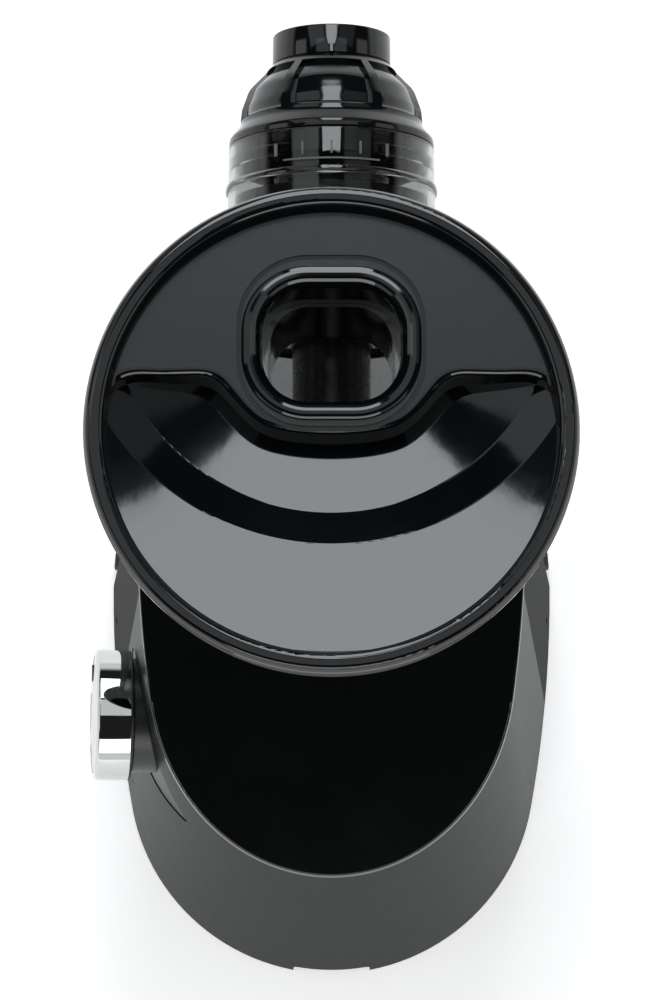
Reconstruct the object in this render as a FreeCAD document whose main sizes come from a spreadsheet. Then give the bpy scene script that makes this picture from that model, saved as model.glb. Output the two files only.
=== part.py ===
import FreeCAD, Part
import math
import os
import Sketcher
from FreeCAD import Vector, Rotation, Placement

# Cold press juicer, horizontal single auger. Row frame: +Z up, +Y from the
# motor base towards the pulp nozzle, origin on the floor below the middle of
# the outer box. Millimetres.

doc = FreeCAD.newDocument("ColdPressJuicer")
sheet = doc.addObject("Spreadsheet::Sheet", "Dims")

DIMS = [
    # motor base, a cone-shaped plan that narrows upwards
    ("cone_height", 1365.0, "height of the point that the base walls lean to"),
    ("rear_arc_r", 90.0, "plan radius of the rear, at the floor"),
    ("rear_arc_y", -97.5, "centre of the rear arc"),
    ("side_arc_r", 547.4, "plan radius of the sides"),
    ("side_arc_x", 449.9, "distance of the side arc centre from the middle"),
    ("side_arc_y", -15.0, "station of the widest point"),
    ("join_x", 88.52, "where rear and side arcs meet"),
    ("join_y", -113.73, "where rear and side arcs meet"),
    ("join_nx", 0.9836, "outward direction there"),
    ("join_ny", -0.18035, "outward direction there"),
    ("wall", 2.6, "housing wall"),
    ("shell_bottom", 2.0, "lower edge of the housing walls"),
    ("shell_loft_top", 262.0, "height the walls are drawn to before the cut"),
    ("front_face_y", -6.0, "front face of the base"),
    ("front_wall", 3.0, "front wall thickness"),
    ("front_corner_r", 8.0, "rounded front corners"),
    ("plinth_front_y", 8.0, "front edge of the foot under the front face"),
    ("plinth_height", 13.0, "top of that foot"),
    ("top_rise", 0.55, "slope of the slanted top"),
    ("top_z_at_rear", 160.0, "height of the slanted top at station -164"),
    ("top_ref_y", -164.0, "station of that height"),
    ("cover_vertical", 3.0, "vertical thickness of the top cover"),
    ("parting_y_low", -66.3, "station of the shell joint at the floor"),
    ("parting_lean", 0.0529, "forward lean of the shell joint"),
    ("base_thick", 4.0, "base plate"),
    ("foot_radius", 9.0, "rubber foot"),
    ("foot_height", 4.0, "rubber foot"),
    ("foot_x_front", 74.0, "front feet"),
    ("foot_y_front", -10.0, "front feet"),
    ("foot_x_rear", 48.0, "rear feet"),
    ("foot_y_rear", -150.0, "rear feet"),
    # drum
    ("axis_z", 190.0, "height of the auger axis"),
    ("drum_outer_r", 44.0, "juicing drum"),
    ("drum_inner_r", 41.0, "juicing drum"),
    ("drum_back_y", -5.0, "rear face of the drum"),
    ("drum_front_y", 140.7, "mouth of the drum"),
    ("feed_y", 28.5, "station of the feed tube"),
    ("feed_inner_x", 50.0, "feed tube bore"),
    ("feed_inner_y", 44.0, "feed tube bore"),
    ("feed_outer_x", 56.0, "feed tube outside"),
    ("feed_outer_y", 50.0, "feed tube outside"),
    ("feed_corner_r", 16.0, "feed tube bore corner"),
    ("feed_top", 99.6, "feed tube height above the axis"),
    ("spout_y", 80.0, "station of the juice spout"),
    ("spout_outer_r", 12.5, "juice spout"),
    ("spout_bore_r", 9.0, "juice spout"),
    ("spout_drop", 64.0, "spout end below the axis"),
    ("lug_r", 46.1, "bayonet lugs"),
    ("collar_outer_r", 52.0, "bayonet collar on the base"),
    ("collar_inner_r", 46.6, "bayonet collar on the base"),
    ("collar_depth", 8.0, "bayonet collar on the base"),
    # auger
    ("auger_core_r", 16.5, "auger core at the feed"),
    ("auger_r", 37.2, "auger flight"),
    ("auger_pitch_feed", 30.0, "flight pitch under the feed tube"),
    ("auger_pitch_press", 17.0, "flight pitch in the screen"),
    ("hex_flat", 12.0, "drive hexagon across flats"),
    ("output_shaft_r", 6.0, "output shaft"),
    ("running_gap", 0.05, "radial clearance of a running fit"),
    # screen
    ("screen_frame_r", 40.7, "screen basket outside"),
    ("screen_mesh_outer_r", 38.4, "screen mesh outside"),
    ("screen_mesh_inner_r", 37.7, "screen mesh inside"),
    ("screen_back_y", 58.0, "screen basket"),
    ("screen_front_y", 118.0, "screen basket"),
    # end cap and nozzle
    ("cap_ring_r", 43.5, "end cap ring"),
    ("cap_rib_depth", 2.0, "depth of the grip pockets"),
    ("nozzle_r", 25.1, "pulp nozzle"),
    ("nozzle_bore_r", 13.0, "pulp nozzle bore"),
    ("nozzle_end_y", 190.0, "end of the nozzle"),
    # feed tray
    ("tray_y", -8.0, "tray centre"),
    ("tray_r", 100.0, "tray radius"),
    ("tray_rim_inner_r", 90.8, "inside of the rim bead"),
    ("tray_top", 332.0, "top of the rim bead"),
    ("tray_shelf_z", 322.0, "shelf"),
    ("tray_wall", 2.5, "tray wall"),
    ("tray_skirt_z", 315.3, "lower edge of the rim skirt"),
    ("chute_x", 56.0, "chute mouth"),
    ("chute_y", 47.0, "chute mouth"),
    ("socket_x", 56.9, "socket over the feed tube"),
    ("socket_y", 50.9, "socket over the feed tube"),
    ("socket_step_z", 290.0, "step that rests over the feed tube"),
    ("socket_low_z", 262.0, "lower end of the socket"),
    ("scoop_axis_y", 52.0, "axis that the scoop floor is turned about"),
    # gear train
    ("mod_first", 1.0, "module, motor stage"),
    ("mod_second", 1.2, "module, output stage"),
    ("teeth_motor", 12.0, "motor pinion"),
    ("teeth_idler", 45.0, "idler gear"),
    ("teeth_idler_pinion", 12.0, "idler pinion"),
    ("teeth_output", 40.0, "output gear"),
    ("idler_z", 158.8, "idler axis height"),
    ("motor_z", 130.3, "motor axis height"),
    ("idler_shaft_r", 4.0, "idler shaft"),
    ("motor_shaft_r", 3.0, "motor shaft"),
    ("motor_can_r", 34.0, "motor"),
    ("case_r", 29.0, "gearbox case end radius"),
    ("case_wall", 2.5, "gearbox case wall"),
    # control
    ("knob_x", -85.5, "back of the knob"),
    ("knob_y", -94.0, "knob centre"),
    ("knob_z", 139.0, "knob centre"),
    ("knob_tilt", 5.0, "upward tilt of the knob axis"),
    ("knob_r", 27.8, "knob"),
    ("knob_len", 16.2, "knob"),
    ("panel_r", 33.0, "control panel round the knob"),
]


class Q:
    """A size: its value now, and the sheet expression that gives it."""

    def __init__(self, value, text):
        self.v = float(value)
        self.t = text

    @staticmethod
    def of(x):
        if isinstance(x, Q):
            return x
        text = "%.9f" % float(x)
        return Q(x, text if float(x) >= 0 else "(" + text + ")")

    def mix(self, other, sign, fn, swap=False):
        a, b = Q.of(self), Q.of(other)
        if swap:
            a, b = b, a
        return Q(fn(a.v, b.v), "(%s %s %s)" % (a.t, sign, b.t))

    def __add__(self, o):
        return self.mix(o, "+", lambda a, b: a + b)

    def __radd__(self, o):
        return self.mix(o, "+", lambda a, b: a + b, True)

    def __sub__(self, o):
        return self.mix(o, "-", lambda a, b: a - b)

    def __rsub__(self, o):
        return self.mix(o, "-", lambda a, b: a - b, True)

    def __mul__(self, o):
        return self.mix(o, "*", lambda a, b: a * b)

    def __rmul__(self, o):
        return self.mix(o, "*", lambda a, b: a * b, True)

    def __truediv__(self, o):
        return self.mix(o, "/", lambda a, b: a / b)

    def __neg__(self):
        return self.mix(0.0, "-", lambda a, b: a - b, True)

    def root(self):
        return Q(math.sqrt(self.v), "sqrt(%s)" % self.t)


def val(x):
    return x.v if isinstance(x, Q) else float(x)


def bind(obj, prop, x):
    if isinstance(x, Q) and "Dims" in x.t:
        obj.setExpression(prop, x.t)


for row, (alias, value, note) in enumerate(DIMS, 1):
    sheet.set("A%d" % row, alias)
    sheet.set("B%d" % row, "%g" % value)
    sheet.set("C%d" % row, note)
    sheet.setAlias("B%d" % row, alias)
doc.recompute()
S = {alias: Q(value, "Dims." + alias) for alias, value, note in DIMS}
N = {alias: float(getattr(sheet, alias)) for alias, value, note in DIMS}

PARTS = {}


def keep(label, obj):
    obj.Label = label
    PARTS[label] = obj
    return obj


def new_body(label, x=0.0, y=0.0, z=0.0, rot=None):
    body = doc.addObject("PartDesign::Body", "Body_" + label)
    body.Placement = Placement(
        Vector(val(x), val(y), val(z)), rot if rot is not None else Rotation()
    )
    for key, q in (("x", x), ("y", y), ("z", z)):
        bind(body, "Placement.Base." + key, q)
    return keep(label, body)


def sketch(body, plane, off=0.0):
    name = "Sketch_%s_%d" % (body.Name[5:], len(body.Group))
    sk = body.newObject("Sketcher::SketchObject", name)
    base = [o for o in body.Origin.OriginFeatures if o.Role == plane][0]
    sk.AttachmentSupport = [(base, "")]
    sk.MapMode = "FlatFace"
    sk.AttachmentOffset = Placement(Vector(0, 0, val(off)), Rotation())
    bind(sk, "AttachmentOffset.Base.z", off)
    return sk


def pin(sk, geo, pos, x, y):
    for kind, q, axis in (("DistanceX", x, -2), ("DistanceY", y, -1)):
        if abs(val(q)) < 1e-9:
            sk.addConstraint(Sketcher.Constraint("PointOnObject", geo, pos, axis))
        else:
            i = sk.addConstraint(Sketcher.Constraint(kind, -1, 1, geo, pos, val(q)))
            bind(sk, "Constraints[%d]" % i, q)


def outline(sk, elems):
    """Closed outline of ('L', p) and ('A', p, centre, r, ccw): each element
    starts at p and ends where the next one starts."""
    n = len(elems)
    made = []
    for i, e in enumerate(elems):
        p, q = e[1], elems[(i + 1) % n][1]
        a = Vector(val(p[0]), val(p[1]), 0)
        b = Vector(val(q[0]), val(q[1]), 0)
        if e[0] == "L":
            g = sk.addGeometry(Part.LineSegment(a, b), False)
            made.append((g, 1, 2, None))
        else:
            c = Vector(val(e[2][0]), val(e[2][1]), 0)
            ccw = e[4]
            s, t = (a, b) if ccw else (b, a)
            a0 = math.atan2(s.y - c.y, s.x - c.x)
            a1 = math.atan2(t.y - c.y, t.x - c.x)
            if a1 <= a0:
                a1 += 2 * math.pi
            circ = Part.Circle(c, Vector(0, 0, 1), val(e[3]))
            g = sk.addGeometry(Part.ArcOfCircle(circ, a0, a1), False)
            made.append((g, 1, 2, e[3]) if ccw else (g, 2, 1, e[3]))
    for i in range(n):
        here, nxt = made[i], made[(i + 1) % n]
        sk.addConstraint(
            Sketcher.Constraint("Coincident", here[0], here[2], nxt[0], nxt[1])
        )
        pin(sk, here[0], here[1], elems[i][1][0], elems[i][1][1])
        if here[3] is not None:
            k = sk.addConstraint(Sketcher.Constraint("Radius", here[0], val(here[3])))
            bind(sk, "Constraints[%d]" % k, here[3])


def rounded(pts):
    """Elements of a closed polygon whose corners are (x, y) or (x, y, r)."""
    n = len(pts)
    out = []
    for i, p in enumerate(pts):
        r = val(p[2]) if len(p) > 2 else 0.0
        if r <= 0:
            out.append(("L", (p[0], p[1])))
            continue
        a, c = pts[i - 1], pts[(i + 1) % n]
        px, py = val(p[0]), val(p[1])
        ux, uy = val(a[0]) - px, val(a[1]) - py
        wx, wy = val(c[0]) - px, val(c[1]) - py
        ul, wl = math.hypot(ux, uy), math.hypot(wx, wy)
        ux, uy, wx, wy = ux / ul, uy / ul, wx / wl, wy / wl
        half = math.acos(max(-1, min(1, ux * wx + uy * wy))) / 2
        d = r / math.tan(half)
        bx, by = ux + wx, uy + wy
        bl = math.hypot(bx, by)
        m = r / math.sin(half)
        centre = (p[0] + bx / bl * m, p[1] + by / bl * m)
        left = (-ux) * wy - (-uy) * wx > 0
        out.append(("A", (p[0] + ux * d, p[1] + uy * d), centre, r, left))
        out.append(("L", (p[0] + wx * d, p[1] + wy * d)))
    return out


def loop(sk, pts):
    outline(sk, rounded(pts))


def circle(sk, x, y, r):
    g = sk.addGeometry(
        Part.Circle(Vector(val(x), val(y), 0), Vector(0, 0, 1), val(r)), False
    )
    if abs(val(x)) < 1e-9 and abs(val(y)) < 1e-9:
        sk.addConstraint(Sketcher.Constraint("Coincident", g, 3, -1, 1))
    else:
        pin(sk, g, 3, x, y)
    i = sk.addConstraint(Sketcher.Constraint("Radius", g, val(r)))
    bind(sk, "Constraints[%d]" % i, r)


def box2(x0, y0, x1, y1, r=0.0):
    return [(x0, y0, r), (x1, y0, r), (x1, y1, r), (x0, y1, r)]


def sector(sk, r0, r1, mid_deg, half_deg, cx=0.0, cy=0.0):
    """Ring sector, angles from the sketch's +x axis."""
    a, b = math.radians(mid_deg - half_deg), math.radians(mid_deg + half_deg)
    pt = lambda r, t: (r * math.cos(t) + cx, r * math.sin(t) + cy)
    outline(
        sk,
        [
            ("L", pt(r0, a)),
            ("A", pt(r1, a), (cx, cy), r1, True),
            ("L", pt(r1, b)),
            ("A", pt(r0, b), (cx, cy), r0, False),
        ],
    )


def feature(body, kind, sk, **props):
    f = body.newObject("PartDesign::" + kind, "%s_%s_%d" % (kind, body.Name[5:], len(body.Group)))
    f.Profile = sk
    for key, q in props.items():
        if key == "ReferenceAxis":
            f.ReferenceAxis = (sk, [q])
        elif key in ("Length", "Length2", "Angle"):
            setattr(f, key, val(q))
            bind(f, key, q)
        else:
            setattr(f, key, q)
    body.Tip = f
    return f


def pad(body, sk, length, **props):
    return feature(body, "Pad", sk, Length=length, **props)


def pocket(body, sk, length, **props):
    return feature(body, "Pocket", sk, Length=length, **props)


def turn(body, sk, axis="H_Axis", angle=360.0, **props):
    return feature(body, "Revolution", sk, ReferenceAxis=axis, Angle=angle, **props)


def groove(body, sk, axis="H_Axis", angle=360.0, **props):
    return feature(body, "Groove", sk, ReferenceAxis=axis, Angle=angle, **props)


def loft(body, sk0, sk1, cut=False):
    f = body.newObject(
        "PartDesign::SubtractiveLoft" if cut else "PartDesign::AdditiveLoft",
        "Loft_%s_%d" % (body.Name[5:], len(body.Group)),
    )
    f.Profile = sk0
    f.Sections = [sk1]
    f.Ruled = True
    body.Tip = f
    return f


def polar(body, feats, count, axis="Y_Axis", angle=360.0):
    f = body.newObject("PartDesign::PolarPattern", "Polar_%s_%d" % (body.Name[5:], len(body.Group)))
    f.Originals = feats
    f.Axis = ([o for o in body.Origin.OriginFeatures if o.Role == axis][0], [""])
    f.Angle = angle
    f.Occurrences = count
    body.Tip = f
    return f


def round_edges(body, radius, test, kind="Fillet"):
    doc.recompute()
    base = body.Tip
    names = [
        "Edge%d" % (i + 1) for i, e in enumerate(base.Shape.Edges) if test(e)
    ]
    if not names:
        raise RuntimeError("no edge found on " + body.Label)
    f = body.newObject("PartDesign::" + kind, "%s_%s_%d" % (kind, body.Name[5:], len(body.Group)))
    f.Base = (base, names)
    if kind == "Fillet":
        f.Radius = radius
    else:
        f.Size = radius
    body.Tip = f
    return f


def from_shape(label, shape, place=None):
    """A sub-part whose shape is set here from the sheet's sizes."""
    f = doc.addObject("Part::Feature", "Solid_" + label)
    f.Shape = shape
    f.Placement = place if place is not None else Placement()
    return keep(label, f)


def mid_of(e):
    return e.BoundBox.Center


# ---------------------------------------------------------------- motor base
def plan(sk, z, inset, front):
    """Plan outline of the base at height z, moved in by inset, with its two
    front corners rounded."""
    k = 1.0 - z / S["cone_height"]
    side_r = k * S["side_arc_r"] - inset
    rear_r = k * S["rear_arc_r"] - inset
    sx, sy = k * S["side_arc_x"], k * S["side_arc_y"]
    jx = k * S["join_x"] - inset * S["join_nx"]
    jy = k * S["join_y"] - inset * S["join_ny"]
    rc = S["front_corner_r"] - inset
    cy = front - rc
    rise = cy - sy
    reach = ((side_r - rc) * (side_r - rc) - rise * rise).root()
    cx = reach - sx
    grow = side_r / (side_r - rc)
    tx = reach * grow - sx
    ty = rise * grow + sy
    outline(
        sk,
        [
            ("A", (-jx, jy), (0.0, k * S["rear_arc_y"]), rear_r, True),
            ("A", (jx, jy), (-sx, sy), side_r, True),
            ("A", (tx, ty), (cx, cy), rc, True),
            ("L", (cx, front)),
            ("A", (-cx, front), (-cx, cy), rc, True),
            ("A", (-tx, ty), (sx, sy), side_r, True),
        ],
    )


def plan_loft(body, z0, z1, inset, front, cut=False):
    a = sketch(body, "XY_Plane", z0)
    plan(a, z0, inset, front)
    b = sketch(body, "XY_Plane", z1)
    plan(b, z1, inset, front)
    return loft(body, a, b, cut)


def top_z(y, drop=0.0):
    return S["top_z_at_rear"] + S["top_rise"] * (y - S["top_ref_y"]) - drop


def part_y(z):
    return S["parting_y_low"] + S["parting_lean"] * z


ZB = S["shell_bottom"]
ZT = S["shell_loft_top"]

rear_shell = new_body("rear_shell")
plan_loft(rear_shell, ZB, ZT, 0.0 * S["wall"], Q.of(-30.0))
plan_loft(rear_shell, ZB - 1.0, ZT + 1.0, S["wall"], Q.of(-28.0), cut=True)
# joint with the front housing, and the slanted top
sk = sketch(rear_shell, "YZ_Plane")
loop(
    sk,
    [
        (-220.0, top_z(-220.0, S["cover_vertical"])),
        (-40.0, top_z(-40.0, S["cover_vertical"])),
        (-20.0, 120.0),
        (-20.0, 420.0),
        (-220.0, 420.0),
    ],
)
pocket(rear_shell, sk, 400.0, SideType="Symmetric")
sk = sketch(rear_shell, "YZ_Plane")
loop(
    sk,
    [
        (part_y(-10.0) - 0.15, -10.0),
        (20.0, -10.0),
        (20.0, 300.0),
        (part_y(300.0) - 0.15, 300.0),
    ],
)
pocket(rear_shell, sk, 400.0, SideType="Symmetric")
# cord notch in the lower rear edge
sk = sketch(rear_shell, "XZ_Plane", 150.0)
loop(sk, [(-16.8, -5.0), (16.8, -5.0), (16.8, 8.0, 2.0), (-16.8, 8.0, 2.0)])
pocket(rear_shell, sk, 60.0, Reversed=True)
doc.recompute()
# screw posts on the wall
sk = sketch(rear_shell, "XY_Plane", ZB + S["base_thick"])
for sx in (-1, 1):
    circle(sk, sx * 82.0, -105.0, 5.6)
pad(rear_shell, sk, 26.0)
sk = sketch(rear_shell, "XY_Plane", ZB)
for sx in (-1, 1):
    circle(sk, sx * 82.0, -105.0, 1.6)
pocket(rear_shell, sk, 24.0, Reversed=True)


def hull_outline(sk, y1, z1, r1, y2, z2, r2):
    """Outline round two circles, the larger one first."""
    dy, dz = y2 - y1, z2 - z1
    dist = math.hypot(dy, dz)
    base = math.atan2(dz, dy)
    spread = math.acos((r1 - r2) / dist)
    pts = []
    for s in (1, -1):
        t = base + s * spread
        pts.append(
            (
                (y1 + r1 * math.cos(t), z1 + r1 * math.sin(t)),
                (y2 + r2 * math.cos(t), z2 + r2 * math.sin(t)),
            )
        )
    (a1, a2), (b1, b2) = pts
    outline(
        sk,
        [
            ("A", a1, (y1, z1), r1, True),
            ("L", b1),
            ("A", b2, (y2, z2), r2, True),
            ("L", a2),
        ],
    )


# opening for the control panel
sk = sketch(rear_shell, "YZ_Plane", -120.0)
hull_outline(sk, N["knob_y"], N["knob_z"], N["panel_r"] * 0.86 + 0.35, -135.5, 140.0, 4.35)
pocket(rear_shell, sk, 72.0, Reversed=True)

control_panel = new_body("control_panel")
plan_loft(control_panel, Q.of(90.0), Q.of(190.0), 0.15 * S["wall"], Q.of(-30.0))
plan_loft(control_panel, Q.of(89.0), Q.of(191.0), S["wall"], Q.of(-28.0), cut=True)
sk = sketch(control_panel, "YZ_Plane", -150.0)
loop(sk, box2(-220.0, 60.0, 20.0, 240.0))
hull_outline(sk, N["knob_y"], N["knob_z"], N["panel_r"] * 0.86, -135.5, 140.0, 4.0)
pocket(control_panel, sk, 130.0, Reversed=True)
sk = sketch(control_panel, "YZ_Plane", -20.0)
loop(sk, box2(-220.0, 60.0, 20.0, 240.0))
pocket(control_panel, sk, 150.0, Reversed=True)

front_housing = new_body("front_housing")
plan_loft(front_housing, ZB, ZT, 0.0 * S["wall"], S["front_face_y"])
plan_loft(front_housing, ZB - 1.0, ZT + 1.0, S["wall"], S["front_face_y"] - S["front_wall"], cut=True)
sk = sketch(front_housing, "YZ_Plane")
loop(
    sk,
    [
        (-220.0, top_z(-220.0, S["cover_vertical"])),
        (20.0, top_z(20.0, S["cover_vertical"])),
        (20.0, 420.0),
        (-220.0, 420.0),
    ],
)
pocket(front_housing, sk, 400.0, SideType="Symmetric")
sk = sketch(front_housing, "YZ_Plane")
loop(
    sk,
    [
        (-220.0, -10.0),
        (part_y(-10.0) + 0.15, -10.0),
        (part_y(300.0) + 0.15, 300.0),
        (-220.0, 300.0),
    ],
)
pocket(front_housing, sk, 400.0, SideType="Symmetric")
# bayonet collar for the drum, with four inward tabs
sk = sketch(front_housing, "XZ_Plane", -S["front_face_y"])
circle(sk, 0.0, S["axis_z"], S["collar_outer_r"])
circle(sk, 0.0, S["axis_z"], S["collar_inner_r"])
pad(front_housing, sk, S["collar_depth"], Reversed=True)
sk = sketch(front_housing, "XZ_Plane", -(S["front_face_y"] + 5.0))
for a in (0, 90, 180, 270):
    sector(sk, 44.8, 47.4, a, 15.0, 0.0, S["axis_z"])
pad(front_housing, sk, S["collar_depth"] - 5.0, Reversed=True)
# shaft hole
sk = sketch(front_housing, "XZ_Plane", -(S["front_face_y"] + 1.0))
circle(sk, 0.0, S["axis_z"], 13.0)
pocket(front_housing, sk, 8.0, Reversed=True)
# screw posts on the walls
sk = sketch(front_housing, "XY_Plane", ZB + S["base_thick"])
for sx in (-1, 1):
    circle(sk, sx * 89.6, -34.0, 5.6)
pad(front_housing, sk, 26.0)
sk = sketch(front_housing, "XY_Plane", ZB)
for sx in (-1, 1):
    circle(sk, sx * 89.6, -34.0, 1.6)
pocket(front_housing, sk, 24.0, Reversed=True)

# slanted top, a separate gloss cover with a bevelled edge
top_cover = new_body("top_cover")
plan_loft(top_cover, Q.of(120.0), ZT, 0.0 * S["wall"], S["front_face_y"])
sk = sketch(top_cover, "YZ_Plane")
loop(
    sk,
    [
        (-220.0, top_z(-220.0)),
        (20.0, top_z(20.0)),
        (20.0, 420.0),
        (-220.0, 420.0),
    ],
)
pocket(top_cover, sk, 400.0, SideType="Symmetric")
sk = sketch(top_cover, "YZ_Plane")
loop(
    sk,
    [
        (-220.0, 60.0),
        (20.0, 60.0),
        (20.0, top_z(20.0, S["cover_vertical"])),
        (-220.0, top_z(-220.0, S["cover_vertical"])),
    ],
)
pocket(top_cover, sk, 400.0, SideType="Symmetric")


def on_top_plane(e):
    for v in e.Vertexes:
        if abs(v.Z - (N["top_z_at_rear"] + N["top_rise"] * (v.Y - N["top_ref_y"]))) > 0.05:
            return False
    return True


round_edges(top_cover, 1.1, on_top_plane)

# base plate with the foot that runs out under the front face
base_plate = new_body("base_plate")
sk = sketch(base_plate, "XY_Plane", ZB)
plan(sk, ZB, S["wall"] + 1.0, S["front_face_y"] - S["front_wall"] - 0.3)
pad(base_plate, sk, S["base_thick"])
plinth = new_body("front_plinth")
sk = sketch(plinth, "XY_Plane", ZB)
loop(
    sk,
    [
        (-96.8, S["front_face_y"] + 0.1),
        (96.8, S["front_face_y"] + 0.1),
        (95.5, S["plinth_front_y"], 9.0),
        (-95.5, S["plinth_front_y"], 9.0),
    ],
)
pad(plinth, sk, S["plinth_height"] - ZB)
round_edges(
    plinth,
    2.0,
    lambda e: abs(e.BoundBox.ZMax - N["plinth_height"]) < 0.01
    and e.BoundBox.ZLength < 0.01
    and e.BoundBox.YMax > N["front_face_y"] + 1.0,
)
sk = sketch(base_plate, "XY_Plane", ZB)
for sx in (-1, 1):
    circle(sk, sx * S["foot_x_front"], S["foot_y_front"] - 12.0, S["foot_radius"])
    circle(sk, sx * S["foot_x_rear"], S["foot_y_rear"], S["foot_radius"])
pocket(base_plate, sk, 2.0, Reversed=True)
sk = sketch(base_plate, "XY_Plane", ZB)
for sx in (-1, 1):
    circle(sk, sx * 82.0, -105.0, 3.6)
    circle(sk, sx * 89.6, -34.0, 3.6)
pocket(base_plate, sk, 2.0, Reversed=True)
sk = sketch(base_plate, "XY_Plane", ZB)
for sx in (-1, 1):
    circle(sk, sx * 82.0, -105.0, 1.9)
    circle(sk, sx * 89.6, -34.0, 1.9)
pocket(base_plate, sk, 6.0, Reversed=True)
# cooling slots under the motor
sk = sketch(base_plate, "XY_Plane", ZB)
for i in range(7):
    y = -126.0 + 9.0 * i
    loop(sk, box2(-26.0, y, 26.0, y + 4.2, 2.0))
pocket(base_plate, sk, 6.0, Reversed=True)


def group(label, shapes):
    return from_shape(label, Part.makeCompound(shapes))


def cyl(r, x, y, z, length, axis=(0, 0, 1)):
    return Part.makeCylinder(r, length, Vector(x, y, z), Vector(*axis))


feet = []
for sx in (-1, 1):
    for fx, fy in (
        (N["foot_x_front"], N["foot_y_front"] - 12.0),
        (N["foot_x_rear"], N["foot_y_rear"]),
    ):
        foot = Part.makeCone(
            N["foot_radius"] - 1.4, N["foot_radius"], 1.2, Vector(sx * fx, fy, 0)
        ).fuse(cyl(N["foot_radius"], sx * fx, fy, 1.2, N["foot_height"] - 1.2))
        feet.append(foot.removeSplitter())
group("rubber_feet", feet)

screws = []
for sx in (-1, 1):
    for px, py in ((82.0, -105.0), (89.6, -34.0)):
        head = cyl(3.4, sx * px, py, N["shell_bottom"] + 0.3, 1.7)
        shank = cyl(1.6, sx * px, py, N["shell_bottom"] + 1.0, 20.0)
        slot = Part.makeBox(5.0, 0.8, 0.8, Vector(sx * px - 2.5, py - 0.4, N["shell_bottom"] + 0.3))
        screws.append(head.fuse(shank).cut(slot).removeSplitter())
group("base_screws", screws)

# cord gland behind the notch
gland = new_body("cord_gland")
sk = sketch(gland, "XZ_Plane", 173.2)
loop(sk, box2(-14.0, 6.2, 14.0, 16.0, 3.0))
circle(sk, 0.0, 11.0, 3.2)
pad(gland, sk, 9.0)
round_edges(gland, 0.8, lambda e: abs(mid_of(e).y + 182.2) < 0.1 and e.BoundBox.YLength < 0.01 and e.BoundBox.XLength > 8.0)

# ---------------------------------------------------------------- gear train
def involute_gear(teeth, module, width, y0, bore, phase_deg, play=0.10):
    """Spur gear about the Y axis, 25 degree flanks, tooth centred at
    phase_deg from +Z. play is the thickness taken off each tooth."""
    alpha = math.radians(25.0)
    z = int(round(teeth))
    rp = module * z / 2.0
    rb = rp * math.cos(alpha)
    ra = rp + 0.80 * module
    rf = rp - 1.05 * module
    inv = lambda a: math.tan(a) - a
    half = math.pi / (2 * z) - play / (2 * rp)

    def flank(r):
        if r <= rb:
            return half + inv(alpha)
        return half + inv(alpha) - inv(math.acos(rb / r))

    start = max(rf, rb)
    radii = [start + (ra - start) * i / 4.0 for i in range(5)]
    pts = []
    for k in range(z):
        c = math.radians(phase_deg) + 2 * math.pi * k / z
        side = []
        if rf < rb:
            side.append((rf, flank(rb) * 1.0))
        for r in radii:
            side.append((r, flank(r)))
        for r, t in side:
            pts.append((r, c - t))
        for r, t in reversed(side):
            pts.append((r, c + t))
    verts = [Vector(r * math.sin(t), y0, r * math.cos(t)) for r, t in pts]
    wire = Part.makePolygon(verts + [verts[0]])
    solid = Part.Face(wire).extrude(Vector(0, width, 0))
    if bore:
        solid = solid.cut(cyl(bore, 0, y0 - 1, 0, width + 2, (0, 1, 0)))
    return solid


def at_axis(z):
    return Placement(Vector(0, 0, z), Rotation())


ZA, ZI, ZM = N["axis_z"], N["idler_z"], N["motor_z"]
from_shape(
    "motor_pinion",
    involute_gear(N["teeth_motor"], N["mod_first"], 9.0, -42.0, N["motor_shaft_r"], 0.0),
    at_axis(ZM),
)
idler = involute_gear(N["teeth_idler"], N["mod_first"], 6.5, -41.0, N["idler_shaft_r"], 180.0 + 180.0 / N["teeth_idler"])
for k in range(6):
    a = math.radians(60 * k + 30)
    idler = idler.cut(cyl(3.6, 13.4 * math.cos(a), -43, 13.4 * math.sin(a), 12, (0, 1, 0)))
from_shape("idler_gear", idler, at_axis(ZI))
from_shape(
    "idler_pinion",
    involute_gear(N["teeth_idler_pinion"], N["mod_second"], 12.5, -34.4, N["idler_shaft_r"], 0.0),
    at_axis(ZI),
)
out_gear = involute_gear(N["teeth_output"], N["mod_second"], 10.0, -33.0, N["output_shaft_r"], 180.0 + 180.0 / N["teeth_output"])
for k in range(6):
    a = math.radians(60 * k)
    out_gear = out_gear.cut(cyl(4.0, 14.6 * math.cos(a), -35, 14.6 * math.sin(a), 15, (0, 1, 0)))
hub = cyl(9.0, 0, -23.0, 0, 4.0, (0, 1, 0)).cut(cyl(N["output_shaft_r"], 0, -24, 0, 7, (0, 1, 0)))
out_gear = out_gear.fuse(hub).removeSplitter()
from_shape("output_gear", out_gear, at_axis(ZA))


def rod(label, r, y0, y1, z, x=0.0):
    """Plain shaft along Y."""
    b = new_body(label, x, 0.0, z)
    s = sketch(b, "XZ_Plane", -y0)
    circle(s, 0.0, 0.0, r)
    pad(b, s, y1 - y0, Reversed=True)
    return b


idler_shaft = rod("idler_shaft", S["idler_shaft_r"], -48.0, -14.6, S["idler_z"])
round_edges(idler_shaft, 0.6, lambda e: True, "Chamfer")
motor_shaft = rod("motor_shaft", S["motor_shaft_r"], -141.0, -31.5, S["motor_z"])
round_edges(motor_shaft, 0.5, lambda e: True, "Chamfer")

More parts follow.
